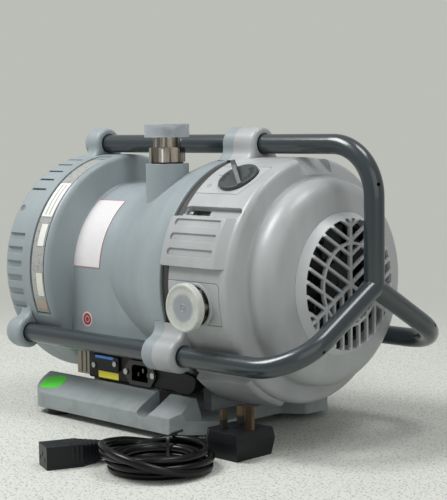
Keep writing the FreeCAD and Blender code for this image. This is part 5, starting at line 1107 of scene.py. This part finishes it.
@dataclass
class Relief:
    """Moulded grip or strain relief round a cord: rounded sections along an axis, with ribs."""

    name: str
    foot: Point
    along: Point
    sizes: tuple[Point, ...]
    squareness: Pair
    ribs: int
    ribs_from: float
    rib_depth: float
    rows: int = 121
    cols: int = 64

    def surface(self) -> np.ndarray:
        """point(s, t) = foot + s along + width(s)/2 c(t) side + height(s)/2 d(t) up.

        c and d are the parts of a superellipse whose squareness runs from its first value to its
        last. Width and height run straight between the sizes' rows, and each rib raises both by
        the root of the upper half of a sine of s.
        """
        places, widths, heights = np.array(self.sizes).T
        s = np.linspace(0, places[-1], self.rows)[:, None]
        run = np.clip((s - self.ribs_from) / (places[-1] - self.ribs_from), 0, 1)
        rib = np.maximum(np.sin(run * ROUND * self.ribs), 0) ** 0.5 * 2 * self.rib_depth
        square = np.linspace(*self.squareness, self.rows)[:, None]
        c, d = rounded_section(steps_round(self.cols)[None], square)
        along = unit(self.along)
        side = unit(np.cross(along, Z_AXIS))
        middle = self.foot + s * along
        across = (np.interp(s, places, widths) + rib) / 2 * c
        up = (np.interp(s, places, heights) + rib) / 2 * d
        points = middle[:, None] + across[..., None] * side + up[..., None] * np.cross(side, along)
        return capped(points, middle[[0, -1]])

    def build(self) -> Piece:
        """Make the relief."""
        return dressed(shell(self.name, self.surface()), "plug_plastic")


@dataclass
class CordTie:
    """Coated wire tie: a flat loop round the coil's turns, and its two ends twisted together."""

    angle: float = math.radians(118.0)
    radius: float = 0.0415
    half: Pair = (0.0118, 0.0106)
    strap: Pair = (0.0017, 0.0005)
    above_floor: float = 0.0006
    wire: float = 0.0007
    twists: float = 3.5
    length: float = 0.016

    def build(self) -> list[Piece]:
        """Make the loop and the twist, in place of the plain tie.

        The loop is a superellipse in the plane of the coil's radius and the upright. The twist is
        two wires, half a turn apart: point = axis + wire radius (cos, sin) of its turn.

        Returns:
            The loop and the twist.
        """
        out = np.array([*polar(1.0, self.angle), 0.0])
        round_coil = np.cross(Z_AXIS, out)
        middle = np.array([*COIL_MIDDLE, self.half[1] + self.above_floor]) + out * self.radius
        c, d = rounded_section(steps_round(96)[:, None], 4.0)
        loop = middle + c * out * self.half[0] + d * Z_AXIS * self.half[1]
        s = np.linspace(0, 1, 97)[:, None]
        lean = -round_coil * 0.8 + Z_AXIS * 0.35 - out * 0.45
        axis = middle + Z_AXIS * self.half[1] + s * lean * self.length
        wires = []
        for t in ROUND * self.twists * s + np.array([0.0, math.pi])[:, None, None]:
            path = axis + self.wire * (np.cos(t) * Z_AXIS + np.sin(t) * out)
            wires.append(tube_along(path, (self.wire, self.wire), out + Z_AXIS * 0.3, False))
        loop_piece = shell("cord_tie_loop", tube_along(loop, self.strap, round_coil, True))
        twist_piece = shell("cord_tie_twist", np.stack(wires))
        for piece in (twist_piece, loop_piece):
            dressed(piece, "tie_plastic")
        return [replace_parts(loop_piece, "cord_tie"), twist_piece]


@dataclass
class MainsLead:
    """The loose lead: one smooth cord, its reliefs and its tie."""

    inner_row: float = 0.034
    pitch: float = 0.007
    low_row: float = 0.0036
    points_per_turn: int = 16
    turns: float = 5.87
    start_angle: float = 155.0
    diameter: float = 0.007
    length: float = 1.75
    looseness: float = 0.0007
    connector_tail: tuple[Point, ...] = (
        (0.05431, -0.2029, 0.01025), (0.06117, -0.18628, 0.01025), (0.0668, -0.1765, 0.011),
    )
    plug_tail: tuple[Point, ...] = (
        (0.0622, -0.1895, 0.018), (0.0612, -0.177, 0.0162), (0.0615, -0.164, 0.013),
        (0.0625, -0.15, 0.0095), (0.0655, -0.1345, 0.0065), (0.0735, -0.12, 0.006),
        (0.084, -0.1095, 0.007), (0.095, -0.1052, 0.0082), (0.107, -0.102, 0.009),
    )
    stations: tuple[Point, ...] = (
        (0.0, 1.5, 1.2), (0.1, 1.45, 1.95), (0.3, 1.6, 2.0), (0.75, 2.0, 2.0),
        (0.86, 2.0, 2.0), (1.08, 2.0, 1.0), (1.58, 2.05, 1.0), (1.84, 1.0, 1.0),
        (2.58, 1.0, 1.0), (2.84, 0.0, 1.0), (3.32, 0.05, 1.0), (3.58, 0.0, 0.0),
        (4.08, 0.0, 0.0), (4.34, 1.0, 0.0), (5.08, 1.05, 0.0), (5.32, 2.05, 0.0),
        (5.4, 2.35, 0.0), (5.48, 2.85, 0.5), (5.56, 3.05, 1.5), (5.64, 2.7, 2.55),
        (5.72, 2.15, 2.95), (5.8, 2.05, 2.85), (5.87, 2.2, 2.35),
    )

    def coil(self) -> np.ndarray:
        """Turns of the coil, clockwise, in columns outward and rows upward.

        The stations give turns made, column and row, and both run straight between them. A slow
        sine of the turns made keeps the coil from lying dead round.
        """
        turns, columns, rows = np.array(self.stations).T
        made = np.arange(int(self.turns * self.points_per_turn) + 1) / self.points_per_turn
        loose = self.looseness * np.sin(made * ROUND * 1.63 + 0.6)
        radius = self.inner_row + self.pitch * np.interp(made, turns, columns) + loose
        angle = np.radians(self.start_angle - 360 * made)
        height = self.low_row + np.interp(made, turns, rows) * self.pitch
        return np.column_stack([COIL_MIDDLE + polar(radius, angle), height])

    def cord(self) -> Piece:
        """One spline from the connector through the coil to the plug."""
        points = [*self.connector_tail, *self.coil(), *self.plug_tail]
        curve = bpy.data.curves.new("mains_cord", "CURVE")
        curve.dimensions = "3D"
        spline = curve.splines.new("NURBS")
        spline.points.add(len(points) - 1)
        spline.points.foreach_set("co", np.column_stack([points, np.ones(len(points))]).ravel())
        spline.order_u = 3
        spline.use_endpoint_u = True
        spline.resolution_u = 6
        curve.bevel_depth = self.diameter / 2
        curve.bevel_resolution = 4
        curve.use_fill_caps = True
        piece = dressed(add_object("mains_cord", curve), "lead_rubber")
        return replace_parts(piece, "cord_near_connector", "cord_coil", "cord_near_plug")

    def reliefs(self) -> tuple[Relief, Relief]:
        """The connector's ribbed grip, and the plug's relief."""
        lie = np.array([*polar(1.0, math.radians(67.6)), 0.0])
        grip = Relief(
            "connector_grip", np.array([0.0345, -0.251, 0.01055]) + 0.0205 * lie, lie,
            ((0.0, 0.0264, 0.0206), (0.0125, 0.0262, 0.0206), (0.031, 0.013, 0.0176),
             (0.036, 0.0112, 0.015), (0.041, 0.0096, 0.0096)), (9.0, 2.4), 9, 0.003, 0.00022)
        entry = Relief(
            "plug_relief", (0.1078, -0.1018, 0.0091), (-0.023, -0.0064, -0.0016),
            ((0.0, 0.012, 0.0116), (0.023, 0.0084, 0.0084)), (3.0, 2.0), 6, 0.002, 0.00035)
        return grip, entry

    def build(self) -> None:
        cord = self.cord()
        pieces = [*CordTie().build(), *(relief.build() for relief in self.reliefs())]


@dataclass
class Studio:
    """Floor, soft light and the camera of the photograph."""

    azimuth: float = 44.972
    elevation: float = 5.297
    roll: float = -0.758
    focal_pixels: float = 1363.009
    place: Point = (0.98307, -0.97167, 0.30016)
    backdrop: Colour = linear((0.735, 0.745, 0.715))
    aim: Point = (0.0, 0.0, 0.12)
    floor_reach: float = 3.0
    fade: Pair = (0.45, 1.15)
    room_light: float = 0.38
    lamps: tuple[tuple[str, Point, float, float], ...] = (
        ("key", (-0.7, -0.9, 1.8), 0.9, 34.0),
        ("window", (0.6, 0.2, 2.0), 0.7, 12.0),
        ("fill", (1.9, -0.7, 0.9), 1.6, 7.0),
    )

    def camera(self) -> None:
        """Camera turned by azimuth, elevation and roll."""
        data = bpy.data.cameras.new("camera")
        data.lens = self.focal_pixels * data.sensor_width / IMAGE_HEIGHT
        camera = add_object("camera", data)
        camera.matrix_world = Matrix.Translation(self.place)
        for angle, axis in ((self.azimuth, "Z"), (90 - self.elevation, "X"), (self.roll, "Z")):
            camera.matrix_world @= Matrix.Rotation(math.radians(angle), 4, axis)
        bpy.context.scene.camera = camera

    def faced(self, g: Graph, lit: Node, kind: str, mask: Value | float = 1.0) -> Node:
        """A lit shader that the camera alone sees as the backdrop, of that kind, where the mask is one."""
        seen = g.value("LightPath", "Is Camera Ray") * mask
        plain = g.node(kind, {"Color": self.backdrop, "Strength": 1.0})
        return g.node("MixShader", {0: seen, 1: lit.outputs[0], 2: plain.outputs[0]})

    def floor(self) -> None:
        """Pale floor with a fine fleck; far off, the camera sees it fade into the backdrop."""
        g = Graph(bpy.data.materials.new("floor"))
        fleck = g.noise(430.0, 2.0).ramp(0.54, 0.62) * g.noise(120.0).ramp(0.34, 0.54)
        tone = g.blend(g.noise(12.0, 3.0), linear((0.775, 0.785, 0.76)), linear((0.81, 0.82, 0.795)))
        x, y, _ = g.axes()
        far = ((x * x + y * y) ** 0.5).ramp(*self.fade)
        colour = g.over(tone, (fleck * 0.85, (0.5, 0.505, 0.48)))
        paving = g.node("BsdfPrincipled", {"Base Color": colour, "Roughness": 0.75 + fleck * 0.1})
        r = self.floor_reach
        floor = sheet("floor", np.array([[[-r, -r, 0.0], [-r, r, 0.0]], [[r, -r, 0.0], [r, r, 0.0]]]))
        floor.data.materials.append(g.end("OutputMaterial", self.faced(g, paving, "Emission", far)))

    def lamp(self, name: str, place: Point, size: float, power: float) -> None:
        """Hang a soft square lamp that is aimed at the pump.

        Args:
            name: the lamp's name.
            place: where it hangs.
            size: its side, in metres.
            power: in watts.
        """
        data = bpy.data.lights.new(name, "AREA")
        data.size, data.energy = size, power
        lamp = add_object(name, data)
        lamp.location = place
        lamp.rotation_euler = (Vector(self.aim) - Vector(place)).to_track_quat("-Z", "Y").to_euler()

    def sky(self) -> None:
        """Even world light; the camera sees a pale backdrop instead."""
        world = bpy.data.worlds.new("room")
        bpy.context.scene.world = world
        g = Graph(world)
        light = g.node("Background", {"Color": (1.0, 1.0, 0.985), "Strength": self.room_light})
        g.end("OutputWorld", self.faced(g, light, "Background"))

    def build(self) -> None:
        """Set the studio up."""
        self.camera()
        self.floor()
        self.sky()
        for lamp in self.lamps:
            self.lamp(*lamp)
        bpy.context.scene.view_settings.view_transform = "Standard"


def main() -> None:
    """Dress the nodes and add every piece."""
    logging.basicConfig(level=logging.INFO, format="%(name)s: %(message)s")
    Studio().build()
    dress_nodes()
    MainsLead().build()
    PortCap("inlet_cap", "inlet_port_cap", Turning.Z, (0.0, 0.0, 1.0)).build()
    PortCap("exhaust_cap", "exhaust_port_cap", Turning.Y, (0.0, -1.0, 0.0), height=0.0068,
            milk=Milky((0.85, 0.865, 0.84), 0.34, alpha=0.92, transmission=0.22)).build()
    Labels().build()
    KnobMarks().build()


if __name__ == "__main__":
    main()
